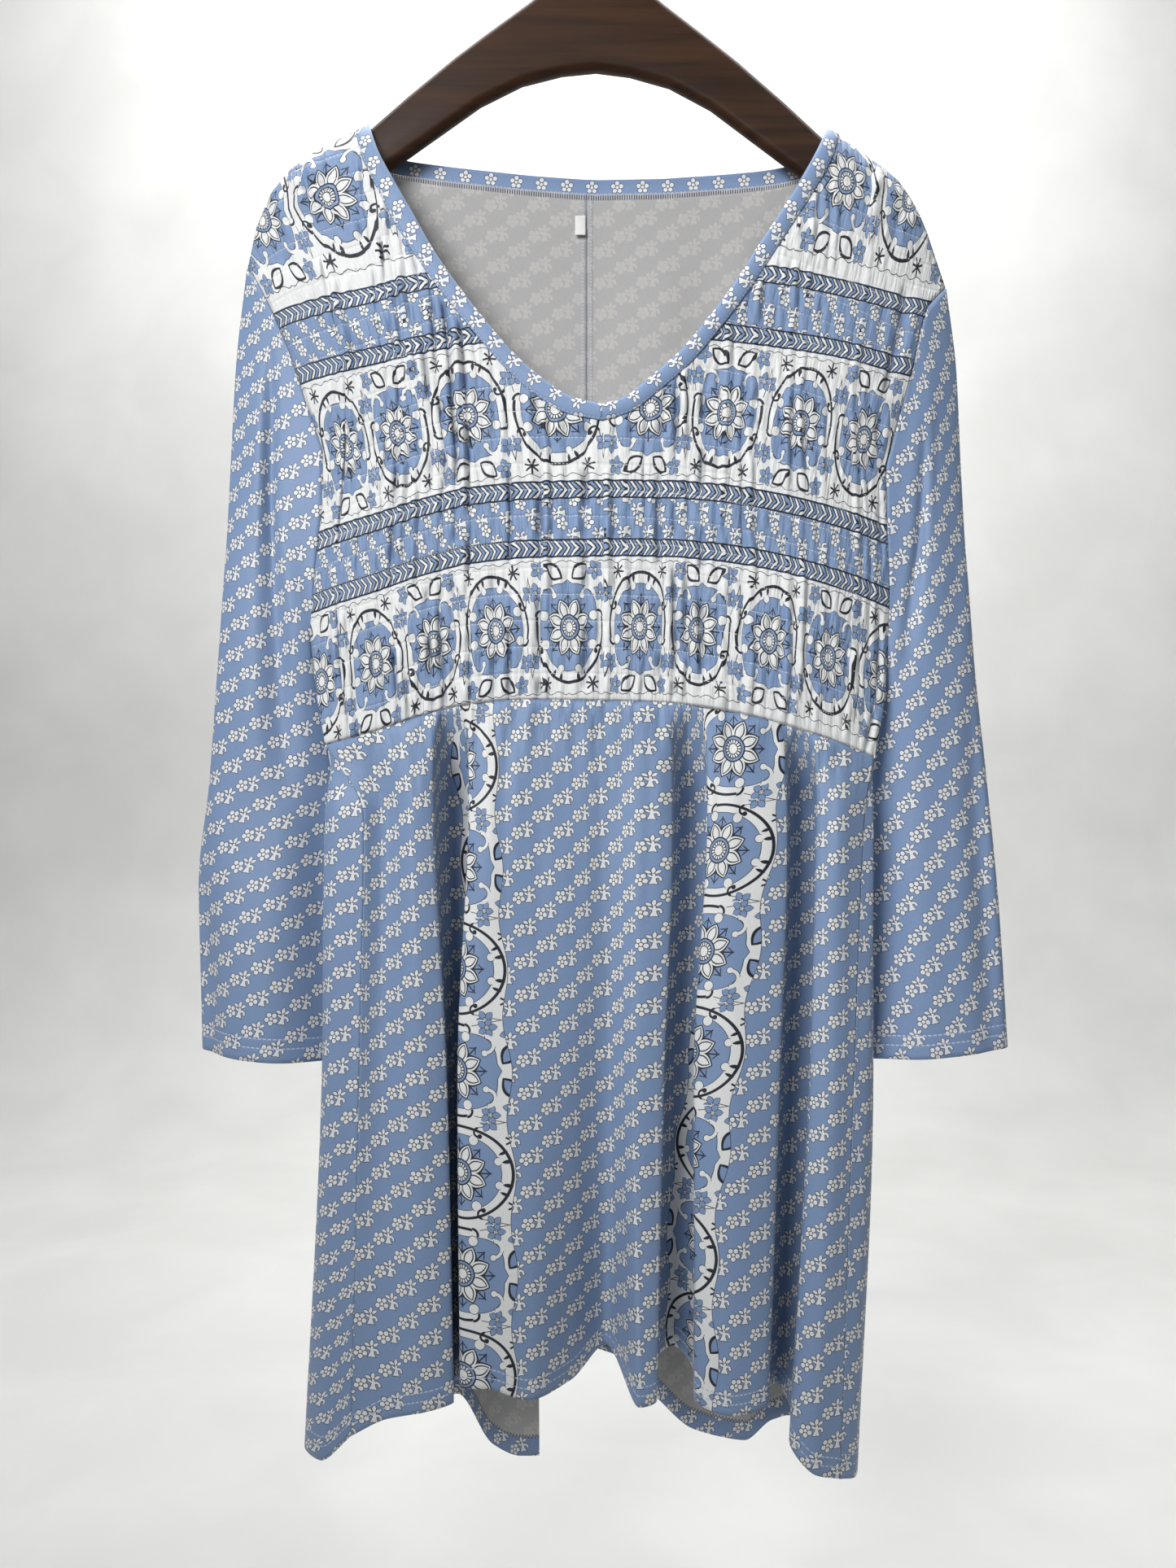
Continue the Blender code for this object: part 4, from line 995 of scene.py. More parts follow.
@dataclass
class Sleeve:
    """A three-quarter sleeve, open at the armhole and the hem.

    Attributes:
        side: Which sleeve.
        columns: Columns round it.
        upper_rows: Rows beside the armhole.
        lower_rows: Rows below the underarm.
        print_turn: Degrees that its print is turned by.
    """

    side: Side
    columns: int = 132
    upper_rows: int = 52
    lower_rows: int = 86
    print_turn: float = 0

    def armhole_point(self, height: float, face: str) -> Array:
        """A point of the armhole seam on the front or the back."""
        step = 2 * MM
        above = edge(self.side, height + step, "across")
        below = edge(self.side, height - step, "across")
        slope = math.atan2(above - below, 2 * step)
        x = self.side.value * (edge(self.side, height, "across") + SLEEVE_GAP * math.cos(slope))
        return np.array([x, edge(self.side, height, face), height - SLEEVE_GAP * math.sin(slope)])

    def ring(self, row: SleeveRing, angles: Array) -> Array:
        """One ring of the sleeve, open at the armhole above the underarm and closed below it.

        Args:
            row: The ring's sizes.
            angles: Angles from the inner side, over the front, to the outside and back.

        Returns:
            One point for each angle.
        """
        underarm = seam_height(self.side, UNDERARM_ROW)
        inner_height = row.inner_height * MM
        is_open = inner_height > underarm + MM
        points = []
        for angle in angles:
            turn = 1 - abs(angle - math.pi) / math.pi
            face = "front" if angle <= math.pi else "back"
            inward = 1 - turn if is_open else (1 + math.cos(angle)) / 2
            inner = np.array([self.side.value * row.inner_across, row.inner_y, row.inner_height]) * MM
            if inner_height > underarm - MM:
                inner = self.armhole_point(max(inner_height, underarm), face)
            outer = np.array([self.side.value * row.outer_across, row.outer_y, row.outer_height]) * MM
            point = outer + (inner - outer) * inward
            if is_open:
                point[0] = inner[0] + (outer[0] - inner[0]) * turn**SLEEVE_REACH
                point[2] = inner[2] + (outer[2] - inner[2]) * turn**SLEEVE_RISE
            swell = -row.front_swell if angle <= math.pi else row.back_swell
            fullness = INNER_FULLNESS if math.cos(angle) > 0 else OUTER_FULLNESS
            point[1] += swell * MM * abs(math.sin(angle)) ** fullness
            points.append(point)
        return np.array(points)

    def cap(self, angles: Array) -> Array:
        """The sleeve's first row, along the top of the armhole seam from its front to its back."""
        top, low = seam_height(self.side, 0), seam_height(self.side, CAP_ROW)
        turns = 1 - np.abs(angles - math.pi) / math.pi
        faces = np.where(angles <= math.pi, "front", "back")
        return np.array([self.armhole_point(low + (top - low) * t, face) for t, face in zip(turns, faces)])

    def pressed(self, angle: Array, height: Array) -> Array:
        """How far the folds press the wall in at each angle and height."""
        depth = np.zeros(np.broadcast(angle, height).shape)
        for fold in SLEEVE_FOLDS[self.side]:
            along = np.clip((fold.top * MM - height) / ((fold.top - fold.bottom) * MM), 0, 1)
            centre = fold.top_angle + (fold.bottom_angle - fold.top_angle) * along
            away = (np.degrees(angle) - centre) / fold.width
            depth = depth + fold.depth * MM * np.sin(math.pi * along) * np.exp(-away * away)
        return depth

    def grid(self) -> Grid:
        """The sleeve's cloth from the armhole to the hem."""
        angles = np.linspace(0, 2 * math.pi, self.columns + 1)
        table = SLEEVE_RINGS[self.side]
        rings = [self.cap(angles)] + [self.ring(row, angles) for row in table]
        cap, underarm = seam_height(self.side, CAP_ROW), seam_height(self.side, UNDERARM_ROW)
        hem = table[-1].inner_height * MM
        ring_heights = np.array([cap] + [row.inner_height * MM for row in table])
        heights = np.concatenate([
            np.linspace(cap, underarm, self.upper_rows),
            np.linspace(underarm, hem, self.lower_rows + 1)[1:],
        ])
        points = smooth(cap - ring_heights, rings, cap - heights)
        for row in range(1, self.upper_rows):
            for corner, face in ((0, "front"), (-1, "back")):
                shift = self.armhole_point(heights[row], face) - points[row, corner]
                reach = np.clip(1 - np.abs(angles - angles[corner]) / SEAM_PULL, 0, 1)
                points[row] += shift * reach[:, None]
        outward = np.where(angles <= math.pi, -1, 1)[None, :]
        points[:, :, 1] -= outward * self.pressed(angles[None, :], points[:, :, 2])
        drop = fallen(points)
        round_it = np.degrees(angles)[None, :] / 10 + 0 * drop
        soft = ripple(round_it, drop, 3.4, 90, 41 + self.side.value) * 1.3 * MM
        points[:, :, 1] += soft * np.abs(np.sin(angles))[None, :] * np.clip(drop / 60, 0, 1)
        points[self.upper_rows - 1 :, -1] = points[self.upper_rows - 1 :, 0]
        across = spread(points)
        across = (across - across[:, self.columns // 2, None]) * self.side.value
        up = points[:, :, 2] / MM
        turn = math.radians(self.print_turn)
        print_across = across * math.cos(turn) + up * math.sin(turn)
        print_up = up * math.cos(turn) - across * math.sin(turn)
        return Grid(points, print_across, print_up, risen(points))


# Finishes

BLUR = 0.22
SHARP = 0.01


class Value:
    """A number on a node's socket, with arithmetic that adds Math nodes to the same tree."""

    def __init__(self, tree: NodeTree, socket: Socket) -> None:
        """Keeps the tree and the socket."""
        self.tree = tree
        self.socket = socket

    def math(self, operation: str, *others: Value | float, clamp: bool = False) -> Value:
        """Adds one Math node.

        Args:
            operation: The node's operation.
            others: Its further inputs.
            clamp: Whether the result stays from 0 to 1.

        Returns:
            The node's result.
        """
        node = self.tree.nodes.new("ShaderNodeMath")
        node.operation = operation
        node.use_clamp = clamp
        for socket, item in zip(node.inputs, (self, *others)):
            if isinstance(item, Value):
                self.tree.links.new(item.socket, socket)
            else:
                socket.default_value = item
        return Value(self.tree, node.outputs[0])

    def __add__(self, other: Value | float) -> Value:
        """Sum."""
        return self.math("ADD", other)

    def __sub__(self, other: Value | float) -> Value:
        """Difference."""
        return self.math("SUBTRACT", other)

    def __rsub__(self, other: float) -> Value:
        """A plain number less this one."""
        return (self * -1.0) + other

    def __mul__(self, other: Value | float) -> Value:
        """Product."""
        return self.math("MULTIPLY", other)

    def __truediv__(self, other: Value | float) -> Value:
        """Quotient."""
        return self.math("DIVIDE", other)

    def __abs__(self) -> Value:
        """Size without the sign."""
        return self.math("ABSOLUTE")

    def sin(self) -> Value:
        """Sine."""
        return self.math("SINE")

    def cos(self) -> Value:
        """Cosine."""
        return self.math("COSINE")

    def wave(self, pitch: float) -> Value:
        """Sine wave of a given length."""
        return (self * (2 * math.pi / pitch)).sin()

    def off_step(self, pitch: float) -> Value:
        """How far past the nearest of evenly spaced steps this number is, as a share of their pitch."""
        run = self * (1 / pitch)
        return run - run.nearest()

    def clamped(self) -> Value:
        """This number kept from 0 to 1."""
        return self.math("ADD", 0.0, clamp=True)

    def nearest(self) -> Value:
        """Nearest whole number."""
        return self.math("ROUND")

    def power(self, exponent: float) -> Value:
        """This number to a power."""
        return self.math("POWER", exponent)

    def least(self, *others: Value | float) -> Value:
        """The smallest of several numbers."""
        result = self
        for other in others:
            result = result.math("MINIMUM", other)
        return result

    def most(self, *others: Value | float) -> Value:
        """The largest of several numbers."""
        result = self
        for other in others:
            result = result.math("MAXIMUM", other)
        return result

    def under(self, limit: Value | float, blur: float = BLUR) -> Value:
        """1 where this number is under a limit, 0 where it is over, with a soft step of width blur."""
        return ((self - limit) * (-1.0 / blur)).math("ADD", 0.5, clamp=True)

    def over(self, limit: Value | float, blur: float = BLUR) -> Value:
        """1 where this number is over a limit, 0 where it is under."""
        return ((self - limit) * (1.0 / blur)).math("ADD", 0.5, clamp=True)

    def near(self, place: float, half_width: float, blur: float = BLUR) -> Value:
        """1 where this number lies within a half width of a place."""
        return abs(self - place).under(half_width, blur)


def fill(tree: NodeTree, node: bpy.types.Node, **values: Value | Socket | float | tuple) -> None:
    """Sets or joins a node's inputs by name, with underscores for spaces."""
    for word, value in values.items():
        socket = node.inputs[word.replace("_", " ")]
        source = value.socket if isinstance(value, Value) else value
        if isinstance(source, Socket):
            tree.links.new(source, socket)
        else:
            socket.default_value = source


def length(x: Value, y: Value) -> Value:
    """Distance of a point from the origin."""
    return (x * x + y * y).math("SQRT")


def turned(x: Value, y: Value, degrees: float) -> tuple[Value, Value]:
    """A point's coordinates along and across a direction."""
    c, s = math.cos(math.radians(degrees)), math.sin(math.radians(degrees))
    return x * c + y * s, y * c - x * s


def above_nearest(v: Value, places: Sequence[float], borders: Sequence[float]) -> Value:
    """Distance above the one of several places whose band a point lies in.

    Args:
        v: Distance up the cloth.
        places: The places, from the lowest up.
        borders: Where the band of one ends and that of the next begins.

    Returns:
        The distance.
    """
    distance = v - places[0]
    for border, low, high in zip(borders, places, places[1:]):
        distance = distance - v.over(border, SHARP) * (high - low)
    return distance


def leaf(x: Value, y: Value, place: tuple, degrees: float, reach: float, breadth: float) -> Value:
    """Distance outside a leaf with two pointed ends, less than zero inside it.

    Args:
        x: Coordinate across.
        y: Coordinate up.
        place: The leaf's middle.
        degrees: Direction of its length.
        reach: Half of its length.
        breadth: Half of its width.

    Returns:
        The distance, in the units of x and y.
    """
    along, beside = turned(x - place[0], y - place[1], degrees)
    share = along / reach
    return abs(beside) - (1.0 - share * share) * breadth


def disc(x: Value, y: Value, place: tuple, radius: float) -> Value:
    """Distance outside a disc."""
    return length(x - place[0], y - place[1]) - radius


def folded(x: Value, y: Value, count: int, start: float = 0.0) -> tuple[Value, Value, Value]:
    """Folds the plane round the origin into one of several equal sectors.

    Args:
        x: Coordinate across.
        y: Coordinate up.
        count: Number of sectors.
        start: Turn of the first sector's middle, as a share of a sector.

    Returns:
        Coordinates along and across the sector's middle, and the distance from the origin.
    """
    radius = length(x, y)
    turn = y.math("ARCTAN2", x) * (count / (2 * math.pi)) + start
    angle = (turn - turn.nearest()) * (2 * math.pi / count)
    return radius * angle.cos(), radius * angle.sin(), radius


def noise(tree: NodeTree, x: Value, y: Value, scale: float, detail: float) -> Value:
    """Soft uneven clouds over two numbers, from 0 to 1.

    Args:
        tree: The tree that gets the nodes.
        x: First number.
        y: Second number.
        scale: Clouds in one unit of the numbers.
        detail: How many finer sets of clouds are added.

    Returns:
        The clouds' strength.
    """
    pair = tree.nodes.new("ShaderNodeCombineXYZ")
    fill(tree, pair, X=x, Y=y)
    clouds = tree.nodes.new("ShaderNodeTexNoise")
    fill(tree, clouds, Vector=pair.outputs[0], Scale=scale, Detail=detail)
    return Value(tree, clouds.outputs["Fac"])


@dataclass
class Effect:
    """A node group with named inputs and outputs, made once.

    Attributes:
        name: Its name.
        inputs: Names and first values of its number inputs.
        outputs: Names of its number outputs.
    """

    name: str
    inputs: dict[str, float]
    outputs: list[str]

    def __post_init__(self) -> None:
        """Makes the empty group."""
        self.tree = bpy.data.node_groups.new(self.name, "ShaderNodeTree")
        for word, start in self.inputs.items():
            socket = self.tree.interface.new_socket(name=word, in_out="INPUT", socket_type="NodeSocketFloat")
            socket.default_value = start
        for word in self.outputs:
            self.tree.interface.new_socket(name=word, in_out="OUTPUT", socket_type="NodeSocketFloat")
        self.entry = self.tree.nodes.new("NodeGroupInput")
        self.exit = self.tree.nodes.new("NodeGroupOutput")

    def read(self, *words: str) -> list[Value]:
        """Some of its inputs, inside the group."""
        return [Value(self.tree, self.entry.outputs[word]) for word in words]

    def give(self, word: str, value: Value) -> None:
        """Joins a number to an output, inside the group."""
        self.tree.links.new(value.socket, self.exit.inputs[word])

    def placed(self, tree: NodeTree, **values: Value | float) -> dict[str, Value]:
        """Places the group in another tree.

        Args:
            tree: The tree of a material or another group.
            values: Its inputs by name, with underscores for spaces.

        Returns:
            Its outputs by name.
        """
        node = tree.nodes.new("ShaderNodeGroup")
        node.node_tree = self.tree
        fill(tree, node, **values)
        return {word: Value(tree, node.outputs[word]) for word in self.outputs}


class Prints:
    """The printed patterns, drawn in millimetres of flat cloth.

    Attributes:
        sprig_step: From one daisy to the next along a slanting row.
        sprig_rise: From one daisy to the next across the rows.
        stem_place: A stem's middle beside its daisy.
        ring_reach: Radius of the ring in a medallion's flower.
        field_width: Half width of a medallion's blue field.
        field_height: Half height of the field.
        knobs: Places and radii of the frame's knobs, on its right half.
        petals: Places and turns of the small flowers, counted from the middle between two medallions.
        chevron_height: Height of a strip of arrowheads.
        chevron_run: Length of one arrowhead.
        loop_width: Width of two loops of the knit.
        loop_height: Height of two rows of the knit.
        thread_radius: Half width of a stitch.
    """

    sprig_step = (14.6, -10.0)
    sprig_rise = (14.0, 10.3)
    stem_place = (7.0, 1.9)
    ring_reach = 8.0
    field_width = 23.8
    field_height = 27.4
    knobs = ((21.2, -7.5, 3.2), (20.4, 10.6, 3.2), (7.4, 25.6, 2.6), (11.2, -20.2, 2.1))
    petals = ((-4.6, -22.0, 0.2), (-8.4, -36.0, 0.6), (0.0, 21.0, 0.1))
    chevron_height = 12.0
    chevron_run = 6.6
    loop_width = 0.62
    loop_height = 0.5
    thread_radius = 0.42

    def __init__(self) -> None:
        """Makes every group."""
        self.daisy = self.make_daisy()
        self.sprig = self.make_sprig()
        self.medallion = self.make_medallion()
        self.chevrons = self.make_chevrons()
        self.stitches = self.make_stitches()
        self.knit = self.make_knit()
        self.puckers = self.make_puckers()

    def make_daisy(self) -> Effect:
        """A flower with five round petals and a round eye."""
        effect = Effect("daisy", {"Across": 0, "Up": 0}, ["White", "Line"])
        x, y = effect.read("Across", "Up")
        along, beside, radius = folded(x, y, 5, 0.25)
        petal = disc(along, beside, (2.8, 0), 1.62)
        eye = radius - 1.1
        effect.give("White", petal.least(eye).under(0))
        rim = abs(petal).under(0.2, 0.12).most(abs(eye - 0.2).under(0.2, 0.12))
        effect.give("Line", rim * petal.least(eye).under(0.3))
        return effect

    def make_sprig(self) -> Effect:
        """Daisies, each with a small branching stem beside it, on a slanting lattice."""
        effect = Effect("sprigs", {"Across": 0, "Up": 0}, ["White", "Line"])
        u, v = effect.read("Across", "Up")
        x, y = self.in_lattice(u, v)
        flower = self.daisy.placed(effect.tree, Across=x, Up=y)
        x, y = self.in_lattice(u - self.stem_place[0], v - self.stem_place[1])
        x, y = x * 1.1 + 0.3, y * 1.1
        tip = leaf(x, y, (0.1, 4.3), 82, 2.5, 1.3)
        sides = leaf(x, y, (-3.0, 3.2), 154, 2.2, 1.15), leaf(x, y, (2.8, 3.3), 34, 2.2, 1.15)
        low = (y - 1.0).least(0.0)
        trunk = abs(x - 0.3 - low * 0.04) - (low * low * 0.045 + 0.95)
        trunk = trunk.most(abs(y + 1.6) - 3.7).most(3.2 - length(x - 0.3, y + 8.3))
        arm = (abs(length(x - 2.3, y + 1.9) - 1.75) - 0.9).most((y + 2.0) * -1.0)
        stub = leaf(x, y, (-1.9, 0.5), 150, 2.0, 0.9)
        shapes = tip.least(*sides, trunk, arm, disc(x, y, (4.1, -2.2), 0.95), stub)
        effect.give("White", shapes.under(0).most(flower["White"]))
        effect.give("Line", abs(shapes - 0.05).under(0.22, 0.12).most(flower["Line"]))
        return effect

    def in_lattice(self, u: Value, v: Value) -> tuple[Value, Value]:
        """A point's place in its own cell of the sprigs' lattice."""
        (ax, ay), (bx, by) = self.sprig_step, self.sprig_rise
        size = ax * by - ay * bx
        first = (u * (by / size) - v * (bx / size)).nearest()
        second = (v * (ax / size) - u * (ay / size)).nearest()
        return u - first * ax - second * bx, v - first * ay - second * by

    def make_medallion(self) -> Effect:
        """Framed eight-petalled flowers in a row, every other one turned over."""
        effect = Effect("medallions", {"Across": 0, "Up": 0}, ["Blue", "Line", "Teardrop"])
        u, v = effect.read("Across", "Up")
        number = (u * (1 / PRINT_PERIOD)).nearest()
        x = u - number * PRINT_PERIOD
        half = number * 0.5
        turned_over = abs(half - half.nearest()) * 4.0 - 1.0
        y = v * turned_over
        right = abs(x)
        ring_blue, ring_line, petal = self.flower(x, y)
        field, knobs = self.field(right, y)
        inside = field.under(0) * knobs.over(0) * petal.over(0)
        rims = (abs(field).under(0.2) * knobs.over(0)).most(abs(knobs).under(0.2) * field.under(1.0))
        vine, teardrop = self.vines(right, y)
        small_blue, small_line = self.small_flowers(right, y)
        outside = field.over(1.0) * knobs.over(0.2)
        field_blue = inside * length(x, y).over(self.ring_reach + 0.2)
        effect.give("Blue", (field_blue + ring_blue).most(small_blue * outside))
        effect.give("Line", ring_line.most(rims, vine * field.over(0.3), small_line * outside))
        effect.give("Teardrop", teardrop)
        return effect

    def field(self, right: Value, y: Value) -> tuple[Value, Value]:
        """The blue field round a flower: square at its open end and round at its closed one.

        Args:
            right: Distance to the side of the medallion's middle.
            y: Distance towards the closed end of the frame.

        Returns:
            The distances outside the field and outside the frame's knobs and hooks, which cut into it.
        """
        across, up = right * (1 / self.field_width), abs(y) * (1 / self.field_height)
        square = (across.power(3.4) + up.power(3.4)).power(1 / 3.4)
        oval = (across.power(2.1) + up.power(2.1)).power(1 / 2.1)
        tip = (2.4 - right * 0.5).most(0.0) * y.under(0, 1.0)
        edge = (square + (oval - square) * y.over(0, 1.0)) * 25.0 - 25.0 - tip
        hook = (abs(length(right - 16.4, y + 20.6) - 5.0) - 1.2).most(y + 20.6)
        return edge, hook.least(*[disc(right, y, (x, height), radius) for x, height, radius in self.knobs])

    def flower(self, x: Value, y: Value) -> tuple[Value, Value, Value]:
        """The flower of a medallion, with a ticked ring, double petals and arrows between them.

        Args:
            x: Coordinate across.
            y: Coordinate up.

        Returns:
            The mask of the ring's blue, the mask of its lines and the distance outside its petals.
        """
        along, beside, radius = folded(x, y, 8, 0.5)
        petal = leaf(along, beside, (11.4, 0), 0, 7.4, 4.9)
        ring = radius - self.ring_reach
        arrow_along, arrow_beside, _ = folded(x, y, 8)
        arrow = (abs(arrow_beside) - 0.45).most(abs(arrow_along - 17.0) - 4.2)
        barb = abs(abs(arrow_beside) - (20.4 - arrow_along) * 0.9) - 0.45
        barb = barb.most(abs(arrow_along - 18.6) - 1.5)
        arrows = arrow.least(barb).under(0, 0.3) * petal.over(0.3)
        ticks = (y.math("ARCTAN2", x) * 16.0).cos().over(0.3, 0.3) * radius.over(3.6) * radius.under(5.9)
        outline = abs(petal).under(0.6, 0.2).most(abs(petal + 2.1).under(0.42, 0.2)) * ring.over(0)
        circles = abs(ring).under(0.46).most(abs(radius - 5.9).under(0.32), abs(radius - 3.4).under(0.3))
        return ring.under(0) * radius.over(6.0), outline.most(circles, ticks, arrows), petal

    def vines(self, right: Value, y: Value) -> tuple[Value, Value]:
        """Bold strokes of a medallion's frame, with curls, drops, corner bursts and a pair of teardrops.

        Args:
            right: Distance to the side of the medallion's middle.
            y: Distance towards the closed end of the frame.

        Returns:
            The mask of the strokes and the mask of the teardrops' insides.
        """
        frame = length(right, y * 0.83) - 28.6
        frame = (abs(frame) - 0.85).most((y + 7.0) * -1.0)
        curl = (abs(length(right - 25.0, y + 7.0) - 3.7) - 0.8).most(y + 7.0)
        inner = (abs(length(right - 25.4, y - 14.0) - 2.7) - 0.7).most(y - 14.0)
        ends = disc(right, y, (21.9, -5.8), 1.6), disc(right, y, (22.9, 14.9), 1.5)
        drops = leaf(right, y, (7.4, 31.2), 82, 3.5, 1.2), leaf(right, y, (12.8, 28.8), 66, 3.2, 1.0)
        _, beside, radius = folded(right - 20.4, y - 35.2, 7, 0.3)
        burst = (abs(beside) - 0.6).most(radius - 5.0)
        teardrop = leaf(right, y, (10.8, -35.2), -36, 7.4, 4.3)
        strokes = frame.least(curl, inner, *ends, *drops, burst, abs(teardrop) - 0.95)
        return strokes.under(0, 0.25), teardrop.under(0)

    def small_flowers(self, right: Value, y: Value) -> tuple[Value, Value]:
        """Small blue flowers with white eyes on thin stems, between two medallions.

        Args:
            right: Distance to the side of the medallion's middle.
            y: Distance towards the closed end of the frame.

        Returns:
            The masks of the blue petals and of their thin lines.
        """
        half = PRINT_PERIOD / 2
        stems = abs(right - (half - 1.0) - (abs(y) - 26) * 0.2).under(0.24) * abs(y).near(24.0, 12.0, 1.0)
        blues = []
        lines = stems.most(abs(abs(y) - 41.2 - (right * 0.5).sin() * 0.9).under(0.24))
        for inward, height, start in self.petals:
            along, beside, radius = folded(right - (half + inward), y - height, 5, start)
            petals = leaf(along, beside, (3.5, 0), 0, 3.0, 2.0)
            eye = radius - 1.5
            blues.append(petals.under(0) * eye.over(0))
            line = abs(petals).under(0.2).most(abs(eye).under(0.2)) * petals.least(eye).under(0.4)
            lines = (lines * petals.least(eye).over(0)).most(line)
        return blues[0].most(*blues[1:]), lines

    def make_chevrons(self) -> Effect:
        """A narrow strip of arrowheads, white and blue by turns, between two dark lines."""
        effect = Effect("chevrons", {"Across": 0, "Up": 0}, ["Blue", "Line"])
        u, y = effect.read("Across", "Up")
        middle = self.chevron_height / 2
        run = (u + abs(y - middle) * 0.95) * (1 / self.chevron_run)
        place = run - run.math("FLOOR")
        edges = y.under(0.9), y.over(self.chevron_height - 0.9)
        effect.give("Blue", abs(place - 0.5).over(0.27, 0.06).most(*edges))
        ribs = abs(abs(place - 0.5) - 0.25).under(0.1, 0.05)
        bounds = y.near(0.75, 0.55).most(y.near(self.chevron_height - 0.75, 0.55))
        inside = y.over(0.9) * y.under(self.chevron_height - 0.9)
        effect.give("Line", (ribs * inside).most(bounds))
        return effect

    def make_stitches(self) -> Effect:
        """A row of short stitches along an edge."""
        start = {"Along": 0, "In": 0, "Place": 7, "Pitch": 3.2}
        effect = Effect("stitch_row", start, ["Thread"])
        along, inward, place, pitch = effect.read(*start)
        run = along / pitch
        dash = abs(run - run.nearest()).under(0.34, 0.08)
        thread = abs(inward - place).under(self.thread_radius, 0.3)
        effect.give("Thread", dash * thread)
        return effect

    def make_knit(self) -> Effect:
        """Fine loops of a smooth jersey, as a height and a slight unevenness of its shade."""
        effect = Effect("jersey_knit", {"Across": 0, "Up": 0}, ["Height", "Shade"])
        u, v = effect.read("Across", "Up")
        loops = u.wave(self.loop_width) * v.wave(self.loop_height)
        cloudy = noise(effect.tree, u, v * 0.35, 0.9, 3)
        effect.give("Height", loops * 0.3 + cloudy)
        effect.give("Shade", cloudy)
        return effect

    def make_puckers(self) -> Effect:
        """Fine upright creases of shirred cloth, as a height from 0 to 1."""
        effect = Effect("puckers", {"Across": 0, "Up": 0}, ["Height"])
        u, v = effect.read("Across", "Up")
        effect.give("Height", noise(effect.tree, u * 0.3, v * 0.055, 1.0, 2))
        return effect


@dataclass(frozen=True)
class Dye:
    """Colours of the printed cloth, as linear red, green and blue."""

    blue: Colour = (0.215, 0.315, 0.51)
    white: Colour = (0.82, 0.83, 0.82)
    ink: Colour = (0.012, 0.014, 0.022)
    # Soft ink draws the sprigs' lines, and is also the colour of painted shade in the yoke's hollows and
    # along the centre back seam.
    soft_ink_and_shade: Colour = (0.05, 0.07, 0.14)
    wrong_ground: Colour = (0.46, 0.455, 0.45)
    wrong_motif: Colour = (0.55, 0.54, 0.52)
    thread: Colour = (0.02, 0.03, 0.08)
    pale_thread: Colour = (0.55, 0.62, 0.78)
    shade: Colour = (0.05, 0.06, 0.1)


